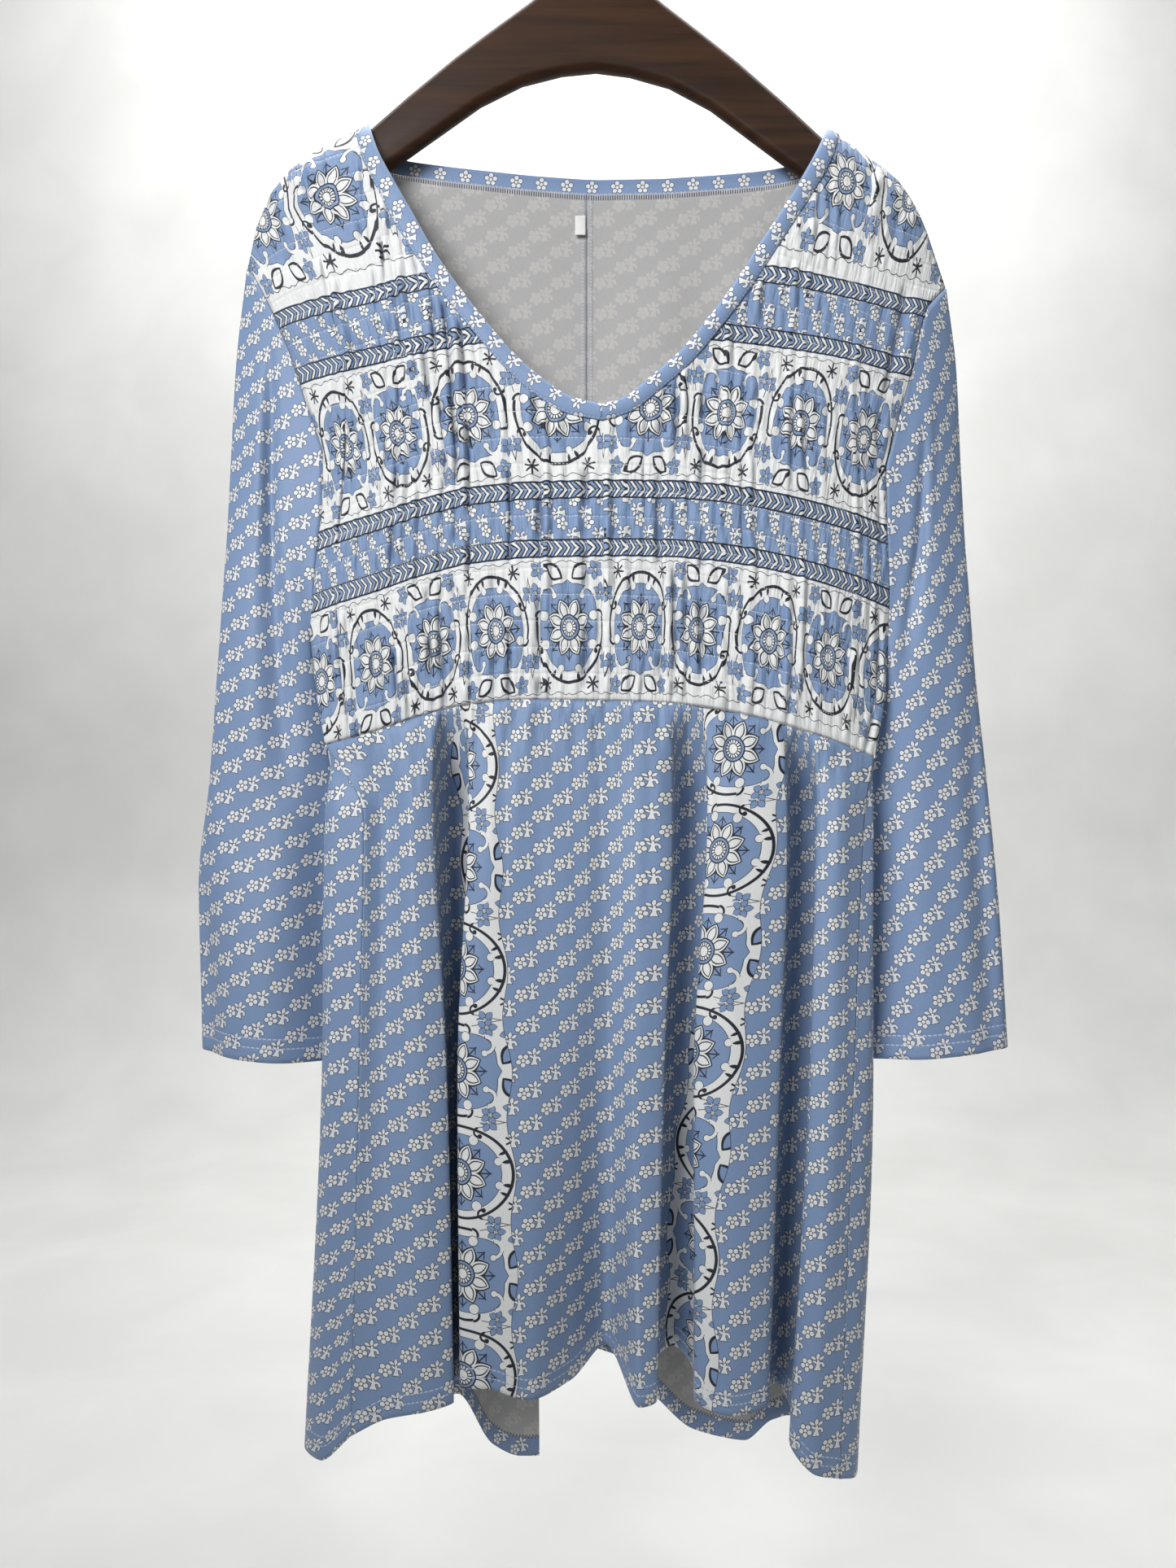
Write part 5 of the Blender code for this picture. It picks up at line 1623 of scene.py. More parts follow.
class ClothFinish:
    """One printed jersey, put together from the prints."""

    def __init__(self, name: str, prints: Prints, dye: Dye, roughness: float = 0.5) -> None:
        """Starts the material.

        Args:
            name: Name of the material.
            prints: The printed patterns.
            dye: Its colours.
            roughness: How matt the cloth is.
        """
        self.material = bpy.data.materials.new(name)
        self.material.use_nodes = True
        self.tree = self.material.node_tree
        self.surface = self.tree.nodes["Principled BSDF"]
        gloss = {"Specular_IOR_Level": 0.35, "Sheen_Weight": 0.12, "Sheen_Roughness": 0.4}
        fill(self.tree, self.surface, Roughness=roughness, **gloss)
        self.prints = prints
        self.dye = dye
        self.across, self.up = self.coordinates("cloth")
        self.margin, self.fall = self.coordinates("edges")
        self.stripe, self.stripe_up = self.coordinates("stripe")

    def coordinates(self, name: str) -> tuple[Value, Value]:
        """The two numbers of one of the cloth's maps."""
        node = self.tree.nodes.new("ShaderNodeUVMap")
        node.uv_map = name
        split = self.tree.nodes.new("ShaderNodeSeparateXYZ")
        self.tree.links.new(node.outputs["UV"], split.inputs[0])
        return Value(self.tree, split.outputs[0]), Value(self.tree, split.outputs[1])

    def mixed(self, share: Value, first: Colour | Socket, second: Colour | Socket) -> Socket:
        """A colour between two others.

        Args:
            share: 0 for the first and 1 for the second.
            first: A colour or a socket.
            second: A colour or a socket.

        Returns:
            The mixed colour's socket.
        """
        node = self.tree.nodes.new("ShaderNodeMix")
        node.data_type = "RGBA"
        self.tree.links.new(share.socket, node.inputs[0])
        for socket, item in zip(node.inputs[6:8], (first, second)):
            if isinstance(item, tuple):
                socket.default_value = (*item, 1)
            else:
                self.tree.links.new(item, socket)
        return node.outputs[2]

    def choose(self, share: Value, first: Value, second: Value) -> Value:
        """A number between two others."""
        return first + (second - first) * share

    def finish(self, colour: Socket, relief: Value, depth: float = 0.35) -> Material:
        """Joins a colour and the cloth's relief to the surface.

        Args:
            colour: The printed colour.
            relief: Height of stitches, seams and thread rows, in millimetres.
            depth: Strength of the relief.

        Returns:
            The material.
        """
        knit = self.prints.knit.placed(self.tree, Across=self.across, Up=self.up)
        shade = (knit["Shade"] - 0.5) * 0.16 + 0.08
        colour = self.mixed(shade.clamped(), colour, self.dye.shade)
        height = knit["Height"] * 0.12 + relief
        bump = self.tree.nodes.new("ShaderNodeBump")
        fill(self.tree, bump, Distance=1 * MM, Strength=depth, Height=height)
        fill(self.tree, self.surface, Base_Color=colour, Normal=bump.outputs["Normal"])
        return self.material

    def sprigs(self, across: Value, up: Value) -> tuple[Value, Value]:
        """Blue and line masks of the sprigs."""
        motif = self.prints.sprig.placed(self.tree, Across=across, Up=up)
        return 1.0 - motif["White"], motif["Line"]

    def inked(self, blue: Value, line: Value, ink: Colour) -> Socket:
        """White cloth with blue and then lines printed on it."""
        ground = self.mixed(blue, self.dye.white, self.dye.blue)
        return self.mixed(line.clamped(), ground, ink)

    def hem(self, colour: Socket, rows: Sequence[float]) -> tuple[Socket, Value]:
        """Adds rows of hem stitches.

        Args:
            colour: The cloth's colour.
            rows: Heights of the rows above the hem, in millimetres.

        Returns:
            The colour with the stitches and their relief.
        """
        thread = None
        groove = None
        for row in rows:
            stitches = self.prints.stitches.placed(self.tree, Along=self.across, In=self.margin, Place=row)
            made = stitches["Thread"]
            dent = self.margin.near(row, 0.9, 1.4) * -0.5
            thread = made if thread is None else thread.most(made)
            groove = dent if groove is None else groove + dent
        fold = self.margin.near(max(rows) + 1.2, 0.5, 1.0) * -0.2
        return self.mixed(thread, colour, self.dye.pale_thread), groove + thread * 0.5 + fold


class Finishes:
    """Every material of the scene."""

    def __init__(self) -> None:
        """Makes the shared effects."""
        self.prints = Prints()
        self.dye = Dye()

    def sprig_cloth(self) -> Material:
        """Blue jersey with white sprigs, for the sleeves and the back."""
        cloth = ClothFinish("sprig_jersey", self.prints, self.dye)
        blue, line = cloth.sprigs(cloth.across, cloth.up)
        colour = cloth.inked(blue, line, self.dye.soft_ink_and_shade)
        colour, relief = cloth.hem(colour, SLEEVE_HEM_ROWS)
        return cloth.finish(colour, relief)

    def skirt_cloth(self) -> Material:
        """The same jersey with border stripes of medallions."""
        cloth = ClothFinish("striped_jersey", self.prints, self.dye)
        blue, line = cloth.sprigs(cloth.across, cloth.up)
        medals = self.prints.medallion.placed(cloth.tree, Across=cloth.stripe_up, Up=cloth.stripe)
        wave = (cloth.stripe_up * (2 * math.pi / PRINT_PERIOD)).cos() * 2.2
        past_edge = abs(cloth.stripe) - wave - STRIPE_WIDTH / 2
        inside = past_edge.under(0)
        blue = cloth.choose(inside, blue, medals["Blue"].most(medals["Teardrop"]))
        line = cloth.choose(inside, line * 0.9, medals["Line"]).most(abs(past_edge).under(0.25) * 0.8)
        colour = cloth.inked(blue, line, self.dye.ink)
        colour, relief = cloth.hem(colour, SKIRT_HEM_ROWS)
        pucker = self.prints.puckers.placed(cloth.tree, Across=cloth.across, Up=cloth.up)["Height"]
        near_seam = (cloth.fall * (-1 / 45)).math("ADD", 1.0, clamp=True)
        return cloth.finish(colour, relief + pucker * near_seam * 3.0)

    def yoke_cloth(self) -> Material:
        """Bands of medallions, arrowheads and sprigs, with rows of shirring thread and painted shade in the
        gathers' hollows.
        """
        cloth = ClothFinish("yoke_jersey", self.prints, self.dye, 0.55)
        u, v = cloth.across, cloth.up
        in_top_band = v.over(BAND_BORDERS[1], SHARP)
        middle = above_nearest(v, BAND_MIDDLES, BAND_BORDERS) * (1.0 - in_top_band * 0.11)
        below = (middle * -1.0 - 17.0).most(0.0)
        middle = middle + below * in_top_band * 0.2
        medals = self.prints.medallion.placed(cloth.tree, Across=u, Up=middle)
        rung = above_nearest(v, STRIP_FEET, STRIP_BORDERS)
        strip = self.prints.chevrons.placed(cloth.tree, Across=u, Up=rung)
        on_strip = rung.over(0, 0.1) * rung.under(self.prints.chevron_height, 0.1)
        low, high = [v.over(foot, 0.1) * v.under(head, 0.1) for foot, head in SPRIG_BANDS]
        between = low.most(high)
        sprig_blue, sprig_line = cloth.sprigs(v + 3.0, u * -1.0)
        blue = cloth.choose(between, medals["Blue"], sprig_blue)
        line = cloth.choose(between, medals["Line"], sprig_line)
        blue = cloth.choose(on_strip, blue, strip["Blue"])
        line = cloth.choose(on_strip, line, strip["Line"])
        colour = cloth.inked(blue, line, self.dye.ink)
        away = abs(cloth.margin.off_step(THREAD_SPACING)) * THREAD_SPACING
        thread = away.under(0.28) * abs(u.off_step(THREAD_STITCH)).under(0.3, 0.1)
        colour = cloth.mixed(thread * 0.6, colour, self.dye.white)
        top_row = cloth.fall.near(1.6, 0.5, 0.6) * -0.35
        # Painted shade: where the gathers' rise is low, their hollows are darkened up to 40 % toward the soft
        # ink; the same mask also deepens their relief.
        hollow = (cloth.stripe * -1.2).math("ADD", -0.35, clamp=True)
        colour = cloth.mixed(hollow * 0.4, colour, self.dye.soft_ink_and_shade)
        pucker = self.prints.puckers.placed(cloth.tree, Across=u, Up=v)["Height"]
        relief = away.under(0.9, 1.6) * -0.7 + top_row - hollow * 1.2 + pucker * 2.6
        return cloth.finish(colour, relief, 0.6)

    def wrong_cloth(self, name: str, has_seam: bool) -> Material:
        """The wrong side: pale, with the sprigs showing faintly through, the hem turned up and painted shade
        along a centre back seam.

        Args:
            name: Name of the material.
            has_seam: Whether the centre back seam runs along its middle.

        Returns:
            The material.
        """
        cloth = ClothFinish(name, self.prints, self.dye, 0.7)
        blue, line = cloth.sprigs(cloth.across * -1.0, cloth.up)
        faint = cloth.mixed(blue, self.dye.wrong_motif, self.dye.wrong_ground)
        printed = cloth.inked(blue, line, self.dye.soft_ink_and_shade)
        turned_up = cloth.margin.under(HEM_TURN)
        colour = cloth.mixed(turned_up, faint, printed)
        zigzag = abs(cloth.across.off_step(2.4)) * 4.4
        cover = abs(cloth.margin - COVER_STITCH - zigzag).under(0.5, 0.4)
        locked = cloth.fall.near(2.2, 1.6, 0.6) * cloth.across.wave(1.6).over(0, 0.9)
        colour = cloth.mixed(cover * 0.85, colour, self.dye.thread)
        relief = turned_up * 0.5 + locked * 0.3
        if has_seam:
            allowance_and_shade = abs(cloth.across).under(SEAM_ALLOWANCE, 1.0)
            dots = cloth.up.wave(2.2).over(0, 0.8)
            stitched = abs(cloth.across).near(2.6, 0.5, 0.4) * dots
            # Painted shade: the seam allowance is darkened 11 % toward the soft ink; the same mask raises its
            # ridge.
            colour = cloth.mixed(allowance_and_shade * 0.11, colour, self.dye.soft_ink_and_shade)
            colour = cloth.mixed(stitched * 0.7, colour, self.dye.pale_thread)
            relief = relief + allowance_and_shade * 0.8
        colour = cloth.mixed(locked * 0.9, colour, self.dye.thread)
        return cloth.finish(colour, relief)

    def binding_cloth(self, name: str, is_front: bool) -> Material:
        """A neck binding: cut across the sprigs at the front, and with spaced daisies at the back.

        Args:
            name: Name of the material.
            is_front: Whether it is the front one.

        Returns:
            The material.
        """
        cloth = ClothFinish(name, self.prints, self.dye)
        if is_front:
            across, up = turned(cloth.across, cloth.up, 32)
            motif = self.prints.sprig.placed(cloth.tree, Across=across, Up=up + 5.0)
        else:
            place = cloth.across.off_step(DAISY_PITCH) * DAISY_PITCH
            motif = self.prints.daisy.placed(cloth.tree, Across=place, Up=cloth.up + 5.6)
        colour = cloth.inked(1.0 - motif["White"], motif["Line"], self.dye.soft_ink_and_shade)
        place = 1.1
        stitches = self.prints.stitches
        row = stitches.placed(cloth.tree, Along=cloth.across, In=cloth.margin, Place=place, Pitch=2.8)
        colour = cloth.mixed(row["Thread"] * 0.6, colour, self.dye.pale_thread)
        groove = cloth.margin.near(place, 0.5, 0.8) * -0.5
        return cloth.finish(colour, groove)

    def tape(self) -> Material:
        """A blank woven tab with fine ribs."""
        cloth = ClothFinish("label_tape", self.prints, self.dye, 0.6)
        ribs = cloth.up.wave(0.7) * 0.5 + 0.5
        colour = cloth.mixed(ribs * 0.2, (0.86, 0.86, 0.84), (0.7, 0.7, 0.68))
        return cloth.finish(colour, ribs * 0.15)

    def paper(self) -> Material:
        """The backdrop's matt paper, slightly uneven."""
        return self.grained("backdrop_paper", (0.74, 0.74, 0.72), (0.68, 0.68, 0.66), (6, 6, 6), 0.9)

    def wood(self) -> Material:
        """Dark varnished wood with a grain that runs along the arms."""
        light, dark = (0.052, 0.02, 0.006), (0.022, 0.008, 0.0024)
        material = self.grained("varnished_wood", light, dark, (9, 60, 150), 0.5)
        surface = material.node_tree.nodes["Principled BSDF"]
        fill(material.node_tree, surface, Coat_Weight=0.1, Coat_Roughness=0.18, Specular_IOR_Level=0.22)
        return material

    def steel(self) -> Material:
        """Bright wire with faint drawn lines."""
        material = self.grained("bright_wire", (0.66, 0.66, 0.66), (0.5, 0.5, 0.5), (300, 300, 40), 0.25)
        material.node_tree.nodes["Principled BSDF"].inputs["Metallic"].default_value = 1.0
        return material

    def grained(self, name: str, light: Colour, dark: Colour, stretch: tuple, roughness: float) -> Material:
        """A surface with a stretched grain.

        Args:
            name: Name of the material.
            light: Colour of its light grain.
            dark: Colour of its dark grain.
            stretch: Grains in a metre along each axis.
            roughness: Its mean roughness.

        Returns:
            The material.
        """
        material = bpy.data.materials.new(name)
        material.use_nodes = True
        tree = material.node_tree
        surface = tree.nodes["Principled BSDF"]
        place = tree.nodes.new("ShaderNodeTexCoord")
        mapping = tree.nodes.new("ShaderNodeMapping")
        fill(tree, mapping, Vector=place.outputs["Object"], Scale=stretch)
        clouds = tree.nodes.new("ShaderNodeTexNoise")
        fill(tree, clouds, Vector=mapping.outputs["Vector"], Scale=1, Detail=6, Distortion=0.4)
        grain = Value(tree, clouds.outputs["Fac"])
        ramp = tree.nodes.new("ShaderNodeValToRGB")
        for stop, position, colour in zip(ramp.color_ramp.elements, (0.35, 0.68), (dark, light)):
            stop.position = position
            stop.color = (*colour, 1)
        fill(tree, ramp, Fac=grain)
        bump = tree.nodes.new("ShaderNodeBump")
        fill(tree, bump, Distance=0.1 * MM, Strength=0.11, Height=grain)
        uneven = grain * 0.2 + (roughness - 0.1)
        colour = ramp.outputs["Color"]
        fill(tree, surface, Base_Color=colour, Roughness=uneven, Normal=bump.outputs["Normal"])
        return material


# Pieces


def shown(thing: Object) -> Object:
    """Puts an object into the scene."""
    bpy.context.scene.collection.objects.link(thing)
    return thing


def as_object(name: str, shape: Shape, *finishes: Material) -> Object:
    """Turns a shape into a smooth object in the scene.

    Args:
        name: Name of the object.
        shape: Its mesh, which is freed.
        finishes: Its materials.

    Returns:
        The object.
    """
    mesh = bpy.data.meshes.new(name)
    shape.to_mesh(mesh)
    shape.free()
    mesh.shade_smooth()
    for finish in finishes:
        mesh.materials.append(finish)
    return shown(bpy.data.objects.new(name, mesh))


CLOTH_WALL = 0.9 * MM
BINDING_WALL = 1.3 * MM
LABEL_WALL = 0.5 * MM


@dataclass
class ClothPiece:
    """A sheet of cloth made from a grid.

    Attributes:
        name: Name of the piece.
        grid: Its points and coordinates.
        outer: Finish of the right side.
        inner: Finish of the wrong side.
        wall: Thickness.
        reverse: True where the grid's own faces look inwards.
    """

    name: str
    grid: Grid
    outer: Material
    inner: Material
    wall: float = CLOTH_WALL
    reverse: bool = False

    def make(self) -> Object:
        """Makes the sheet with its wall and its coordinates for the finish.

        Returns:
            The finished object.
        """
        rows, columns = self.grid.points.shape[:2]
        shape = bmesh.new()
        bmesh.ops.create_grid(shape, x_segments=columns - 1, y_segments=rows - 1, size=1)
        flat = self.grid.points.reshape(-1, 3)
        for vertex, place in zip(shape.verts, flat):
            vertex.co = place
        self.add_coordinates(shape)
        bmesh.ops.remove_doubles(shape, verts=shape.verts, dist=0.005 * MM)
        if self.reverse:
            bmesh.ops.reverse_faces(shape, faces=shape.faces)
        piece = as_object(self.name, shape, self.outer, self.inner)
        solidify = piece.modifiers.new("wall", "SOLIDIFY")
        solidify.thickness = self.wall
        solidify.offset = 0
        solidify.material_offset = 1
        solidify.material_offset_rim = 0
        return piece

    def add_coordinates(self, shape: Shape) -> None:
        """Gives each face's corners the distances across, up and in from the edges.

        Args:
            shape: The sheet, with its vertices still in the grid's order.
        """
        shape.verts.ensure_lookup_table()
        shape.verts.index_update()
        grid = self.grid
        far = np.full(grid.margin.shape, FAR_FROM_STRIPE)
        stripe = far if grid.stripe is None else grid.stripe
        stripe_up = far * 0 if grid.stripe_up is None else grid.stripe_up
        layers = {
            "cloth": (grid.across, grid.up),
            "edges": (grid.margin, fallen(grid.points)),
            "stripe": (stripe, stripe_up),
        }
        for name, (first, second) in layers.items():
            layer = shape.loops.layers.uv.new(name)
            values = joined(first, second).reshape(-1, 2)
            for face in shape.faces:
                for loop in face.loops:
                    loop[layer].uv = values[loop.vert.index]


@dataclass
class Label:
    """A narrow woven tab sewn beside the centre back seam, with nothing on it.

    Attributes:
        left: Its left edge.
        width: Width of the tab.
        top: Height of its sewn end.
        drop: Length that hangs down.
        curl: How far its free end stands off the back.
    """

    left: float = -16.0 * MM
    width: float = 7.0 * MM
    top: float = -240.5 * MM
    drop: float = 13.5 * MM
    curl: float = 2.2 * MM

    def grid(self) -> Grid:
        """The tab's cloth, from its sewn end down."""
        across, down = np.meshgrid(np.linspace(0, 1, 9), np.linspace(0, 1, 15))
        x = self.left + self.width * across
        z = self.top - self.drop * down
        bow = 0.35 * MM * np.sin(math.pi * across)
        y = back_y(x, z) - 1.1 * MM - self.curl * down**1.6 - bow
        points = joined(x, y, z + 0.2 * MM * across)
        return Grid(points, spread(points), -fallen(points), risen(points))


@dataclass
class Hanger:
    """The wooden body and its bent wire hook, tilted a little about the hook's hold point.

    Attributes:
        tilt: Turn about the depth axis.
        thickness: Thickness of the wood.
        edge_round: Radius of its edges.
        wire: Thickness of the hook's wire.
        loop_radius: Radius of the hook's bend, to the wire's middle.
        stem_top: Where the straight stem ends.
        end_angle: Where the hook's bend ends.
        end_round: Rounding of the wire's ends.
    """

    tilt: float = math.radians(0.8)
    thickness: float = 12 * MM
    edge_round: float = 5.5 * MM
    wire: float = 3.8 * MM
    loop_radius: float = 24 * MM
    stem_top: float = -52 * MM
    end_angle: float = math.radians(205)
    end_round: float = 0.6 * MM

    def body(self, finish: Material) -> Object:
        """The wooden body, one outline drawn with smooth arms and rounded edges.

        Args:
            finish: The wood.

        Returns:
            The finished object.
        """
        half = [(row.across * MM, row.height * MM) for row in HANGER_TOP + HANGER_UNDERSIDE]
        outline = np.array(half + [(-x, z) for x, z in reversed(half[1:-1])])
        shape = bmesh.new()
        corners = [shape.verts.new((x, -self.thickness / 2, z)) for x, z in outline]
        face = shape.faces.new(corners)
        shape.normal_update()
        if face.normal.y > 0:
            bmesh.ops.reverse_faces(shape, faces=[face])
        grown = bmesh.ops.extrude_face_region(shape, geom=[face])
        moved = [item for item in grown["geom"] if isinstance(item, bmesh.types.BMVert)]
        bmesh.ops.translate(shape, verts=moved, vec=(0, self.thickness, 0))
        bmesh.ops.recalc_face_normals(shape, faces=shape.faces)
        rims = [e for e in shape.edges if abs(e.verts[0].co.y - e.verts[1].co.y) < 0.1 * MM]
        rounding = {"offset": self.edge_round, "segments": 7, "profile": 0.5, "clamp_overlap": True}
        bmesh.ops.bevel(shape, geom=rims, affect="EDGES", material=-1, **rounding)
        bmesh.ops.rotate(shape, verts=shape.verts, cent=(0, 0, 0), matrix=self.turn())
        return as_object("hanger_wood", shape, finish)

    def turn(self) -> Matrix:
        """The tilt as a matrix."""
        return Matrix.Rotation(self.tilt, 3, "Y")

    def hook(self, finish: Material) -> Object:
        """The hook, a round wire swept along its middle line.

        Args:
            finish: The metal.

        Returns:
            The finished object.
        """
        path = self.hook_line()
        shape = bmesh.new()
        ring = bmesh.ops.create_circle(shape, segments=18, radius=self.wire / 2, cap_ends=True)["verts"]
        bmesh.ops.translate(shape, verts=ring, vec=Vector(path[0]))
        face = shape.faces[:]
        along = Vector((0, 0, 1))
        for before, after, beyond in zip(path[:-1], path[1:], path[2:] + [path[-1] * 2 - path[-2]]):
            grown = bmesh.ops.extrude_face_region(shape, geom=face)["geom"]
            verts = [item for item in grown if isinstance(item, bmesh.types.BMVert)]
            bmesh.ops.delete(shape, geom=face, context="FACES_ONLY")
            face = [item for item in grown if isinstance(item, bmesh.types.BMFace)]
            bmesh.ops.translate(shape, verts=verts, vec=after - before)
            heading = (beyond - before).normalized()
            swing = along.rotation_difference(heading).to_matrix()
            bmesh.ops.rotate(shape, verts=verts, cent=after, matrix=swing)
            along = heading
        bmesh.ops.recalc_face_normals(shape, faces=shape.faces)
        closed = [rim for rim in shape.edges if len(rim.link_faces) == 2]
        ends = [rim for rim in closed if max(len(cap.verts) for cap in rim.link_faces) > 4]
        rounding = {"offset": self.end_round, "segments": 3, "profile": 0.5}
        bmesh.ops.bevel(shape, geom=ends, affect="EDGES", material=-1, **rounding)
        bmesh.ops.rotate(shape, verts=shape.verts, cent=(0, 0, 0), matrix=self.turn())
        return as_object("hanger_wire", shape, finish)

    def hook_line(self) -> list[Vector]:
        """The wire's middle line: a stem, a swing to the right and a loop open to the left."""
        centre = self.wire / 2 - self.loop_radius
        start = math.radians(-60)
        swing = (self.loop_radius * math.cos(start), centre + self.loop_radius * math.sin(start))
        marks = [(0, -73 * MM), (0, -64 * MM), (0, self.stem_top)]
        marks.append((swing[0] * 0.38, self.stem_top + (swing[1] - self.stem_top) * 0.55))
        for angle in np.linspace(start, self.end_angle, 18):
            marks.append((self.loop_radius * math.cos(angle), centre + self.loop_radius * math.sin(angle)))
        marks = np.array(marks)
        fine = smooth(np.arange(len(marks)), marks, np.linspace(0, len(marks) - 1, 110))
        return [Vector((x, 0, z)) for x, z in fine]


@dataclass
class Cut:
    """What a sheet stands for and the size that it was cut to.

    Attributes:
        node: The node that it replaces.
        slot: The slot of its finish. Not used.
        flat: Width and length before it was gathered or hung. Not used.
        area: Area of the cut cloth, in square metres. Not used.
        held: How it is held. Not used.
        bearing: Pieces sewn on it. Not used.
    """

    node: str
    slot: str
    flat: tuple[float, float]
    area: float
    held: str
    bearing: list[Object] = field(default_factory=list)


@dataclass
class Garment:
    """The blouse, with each of its cut pieces.

    Attributes:
        finishes: Maker of its materials.
        yoke: The shirred front.
        skirt: The lower front.
        back: The back halves.
        label: The tab.
    """

    finishes: Finishes
    yoke: Yoke = field(default_factory=Yoke)
    skirt: Skirt = field(default_factory=Skirt)
    back: Back = field(default_factory=Back)
    label: Label = field(default_factory=Label)

    def make(self) -> None:
        """Makes and dresses every sheet."""
        sprig = self.finishes.sprig_cloth()
        striped = self.finishes.skirt_cloth()
        border = self.finishes.yoke_cloth()
        wrong = self.finishes.wrong_cloth("wrong_side", False)
        seamed = self.finishes.wrong_cloth("wrong_side_of_back", True)
        strip = self.finishes.binding_cloth("front_binding_jersey", True)
        back_strip = self.finishes.binding_cloth("back_binding_jersey", False)
        tape = self.finishes.tape()
        front = Cut("bodice_front", "border_print", (0.584, 0.398), 0.1585, "gathered")
        self.sheet(front, ClothPiece("yoke_cloth", self.yoke.grid(), border, wrong, reverse=True))
        lower = Cut("skirt_front", "sprig_print", (0.588, 0.488), 0.255, "gathered")
        self.sheet(lower, ClothPiece("skirt_cloth", self.skirt.grid(), striped, wrong, reverse=True))
        tab = ClothPiece("size_tab", self.label.grid(), tape, tape, LABEL_WALL, True).make()
        dress(tab, "size_label")
        for side in Side:
            word = side.word
            bearing = [tab] if side is Side.LEFT else []
            half = Cut("back_" + word, "back_print", (0.327, 0.876), 0.18, "hung", bearing)
            grid = self.back.grid(side)
            self.sheet(half, ClothPiece(half.node + "_cloth", grid, sprig, seamed, reverse=side is Side.LEFT))
            sleeve = Cut("sleeve_" + word, "sprig_print", (0.237, 0.506), 0.081, "hung")
            grid = Sleeve(side, print_turn=SLEEVE_PRINT_TURN[side]).grid()
            piece = ClothPiece(sleeve.node + "_cloth", grid, sprig, wrong, reverse=side is Side.RIGHT)
            self.sheet(sleeve, piece)
            edging = Cut("neck_binding_" + word, "binding_print", (0.267, 0.0125), 0.0028, "hung")
            grid = self.yoke.binding(side)
            piece = ClothPiece(edging.node + "_cloth", grid, strip, strip, BINDING_WALL, side is Side.LEFT)
            self.sheet(edging, piece)
        edging = Cut("neck_binding_back", "binding_print", (0.347, 0.014), 0.0036, "hung")
        grid = self.back.binding()
        piece = ClothPiece("neck_binding_back_cloth", grid, back_strip, back_strip, BINDING_WALL)
        self.sheet(edging, piece)

    def sheet(self, cut: Cut, piece: ClothPiece) -> None:
        """Makes one sheet and lets it stand for its node.

        Args:
            cut: What the sheet stands for and its flat size.
            piece: The sheet.
        """
        made = piece.make()
        dress(made, cut.node)


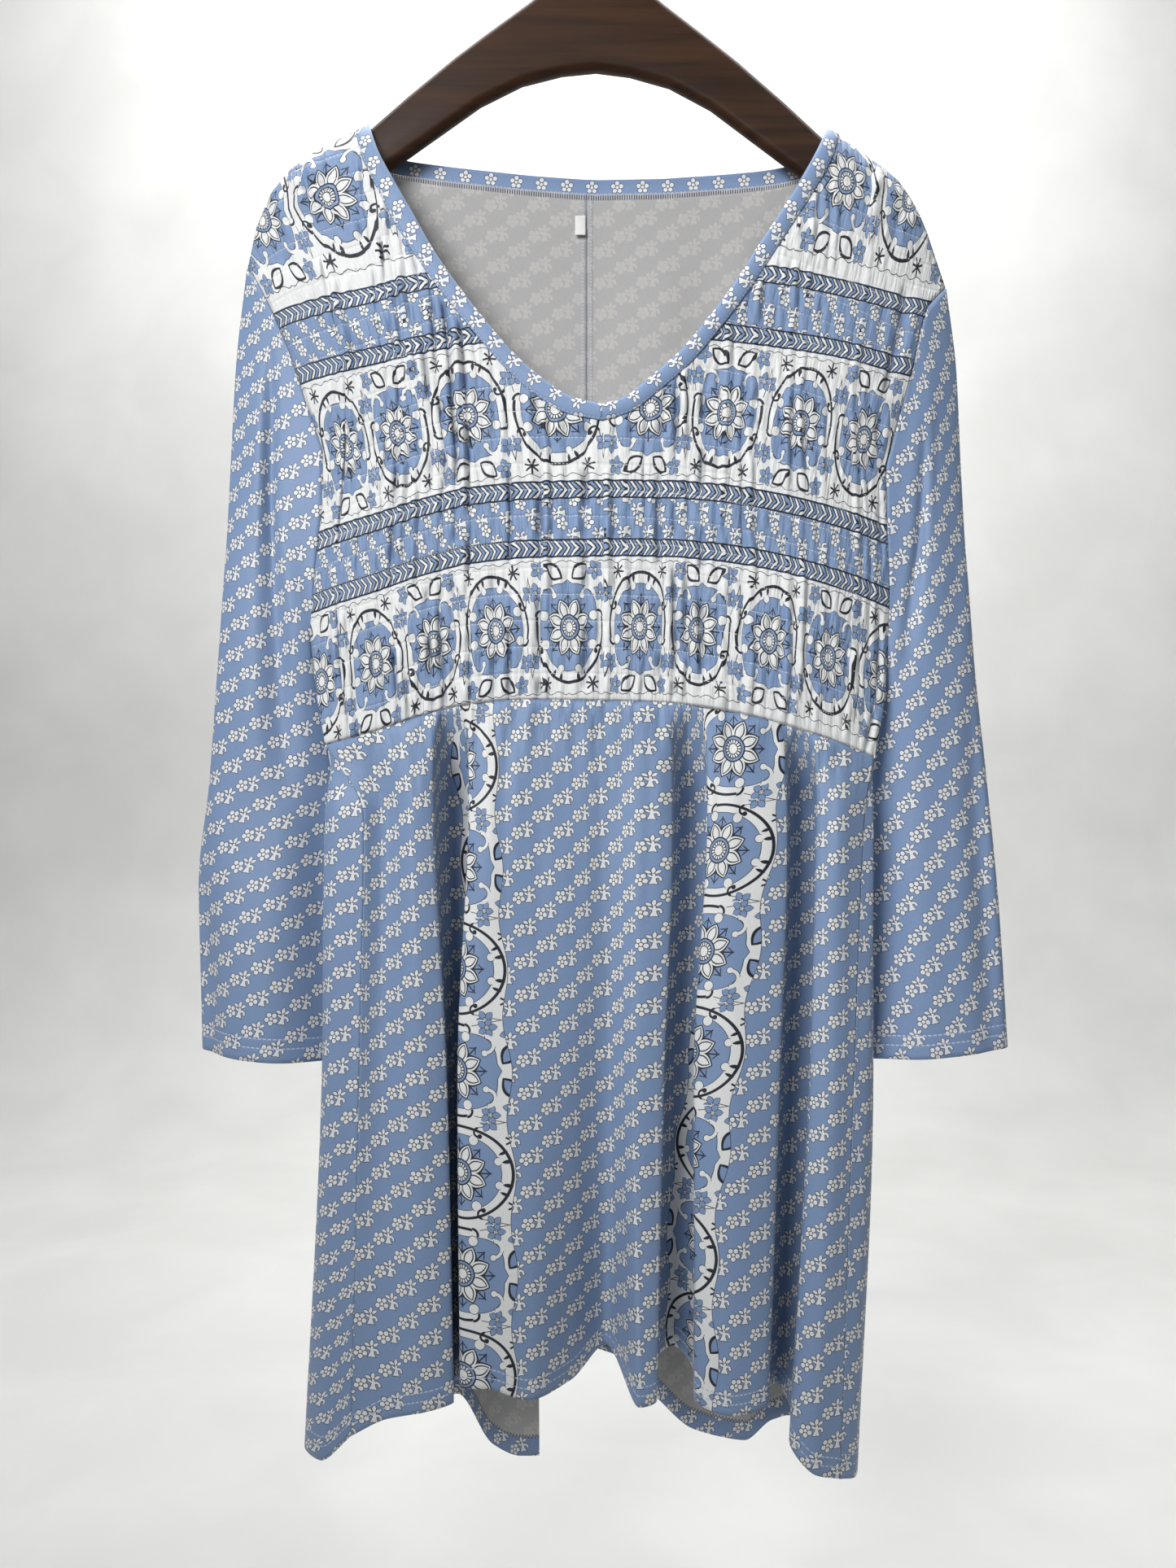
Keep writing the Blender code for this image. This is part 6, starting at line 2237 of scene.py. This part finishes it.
@dataclass
class Studio:
    """Camera, pale floor and backdrop, and soft light.

    Attributes:
        eye: Where the camera stands.
        lens: Its focal length.
        film_width: Width of its film.
        floor_height: Height of the floor.
        floor_end: How far back the floor starts to turn up.
        floor_length: Length of the floor.
        bend_length: Length of the turn.
        bend_radius: Its radius.
        sweep_length: Length of floor, turn and backdrop.
        half_width: Half of their width.
    """

    eye: tuple[float, float, float] = (-0.0074, -0.835, -0.620)
    lens: float = 29.3
    film_width: float = 36
    floor_height: float = -1.2
    floor_end: float = 1.1
    floor_length: float = 2.6
    bend_length: float = 0.8
    bend_radius: float = 0.51
    sweep_length: float = 7.0
    half_width: float = 4

    def camera(self) -> None:
        """A level camera in front of the blouse."""
        data = bpy.data.cameras.new("camera")
        data.lens = self.lens
        data.sensor_width = self.film_width
        data.sensor_fit = "AUTO"
        camera = bpy.data.objects.new("camera", data)
        camera.location = self.eye
        camera.rotation_euler = (math.pi / 2, 0, 0)
        bpy.context.scene.camera = shown(camera)

    def sweep(self, finish: Material) -> None:
        """A floor that turns up into a backdrop.

        Args:
            finish: Its pale matt surface.
        """
        shape = bmesh.new()
        bmesh.ops.create_grid(shape, x_segments=2, y_segments=40, size=1)
        for vertex in shape.verts:
            run = (vertex.co.y + 1) / 2 * self.sweep_length - self.floor_length
            bend = min(max(run / self.bend_length, 0), 1) * math.pi / 2
            y = min(run, 0) + self.bend_radius * math.sin(bend) + self.floor_end
            z = self.bend_radius * (1 - math.cos(bend)) + max(run - self.bend_length, 0)
            vertex.co = (vertex.co.x * self.half_width, y, self.floor_height + z)
        as_object("studio_sweep", shape, finish)

    def light(
        self, name: str, place: tuple, aim: tuple, size: float, power: float, spread: float = 180
    ) -> None:
        """One square soft light.

        Args:
            name: Name of the light.
            place: Where it stands.
            aim: What it points at.
            size: Side of the square.
            power: Its power in watts.
            spread: Angle that its light opens to, in degrees.
        """
        data = bpy.data.lights.new(name, "AREA")
        data.size = size
        data.spread = math.radians(spread)
        data.energy = power
        lamp = bpy.data.objects.new(name, data)
        lamp.location = place
        lamp.rotation_euler = (Vector(aim) - Vector(place)).to_track_quat("-Z", "Y").to_euler()
        shown(lamp)

    def light_all(self) -> None:
        """A soft key light at the left, a weak fill at the right, one on the backdrop and a faint sky."""
        self.light("key", (-0.7, -1.3, 0.12), (0.03, 0, -0.45), size=0.8, power=3.5, spread=56)
        self.light("fill", (0.9, -1.5, 0.5), (0, 0, -0.3), size=1.0, power=1.0, spread=90)
        self.light("backdrop", (0, 0.5, 1.1), (0, 1.6, -0.6), size=1.6, power=55)
        world = bpy.data.worlds.new("studio_sky")
        world.use_nodes = True
        fill(world.node_tree, world.node_tree.nodes["Background"], Color=(0.86, 0.9, 1, 1), Strength=0.065)
        bpy.context.scene.world = world
        bpy.context.scene.view_settings.view_transform = "Standard"


def dress(piece: Object, node: str) -> None:
    """Lets a finished piece stand for a node and ride on the body.

    Args:
        piece: The piece.
        node: The node that it replaces.
    """
    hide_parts(node)
    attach(piece, "root")
    LOG.info("%s stands for %s", piece.name, node)


def main() -> None:
    """Builds the blouse, its hanger and the studio."""
    logging.basicConfig(level=logging.INFO, format="%(message)s")
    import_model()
    studio = Studio()
    studio.camera()
    finishes = Finishes()
    studio.sweep(finishes.paper())
    studio.light_all()
    Garment(finishes).make()
    hanger = Hanger()
    dress(hanger.body(finishes.wood()), "hanger_body")
    dress(hanger.hook(finishes.steel()), "hanger_hook")


if __name__ == "__main__":
    main()
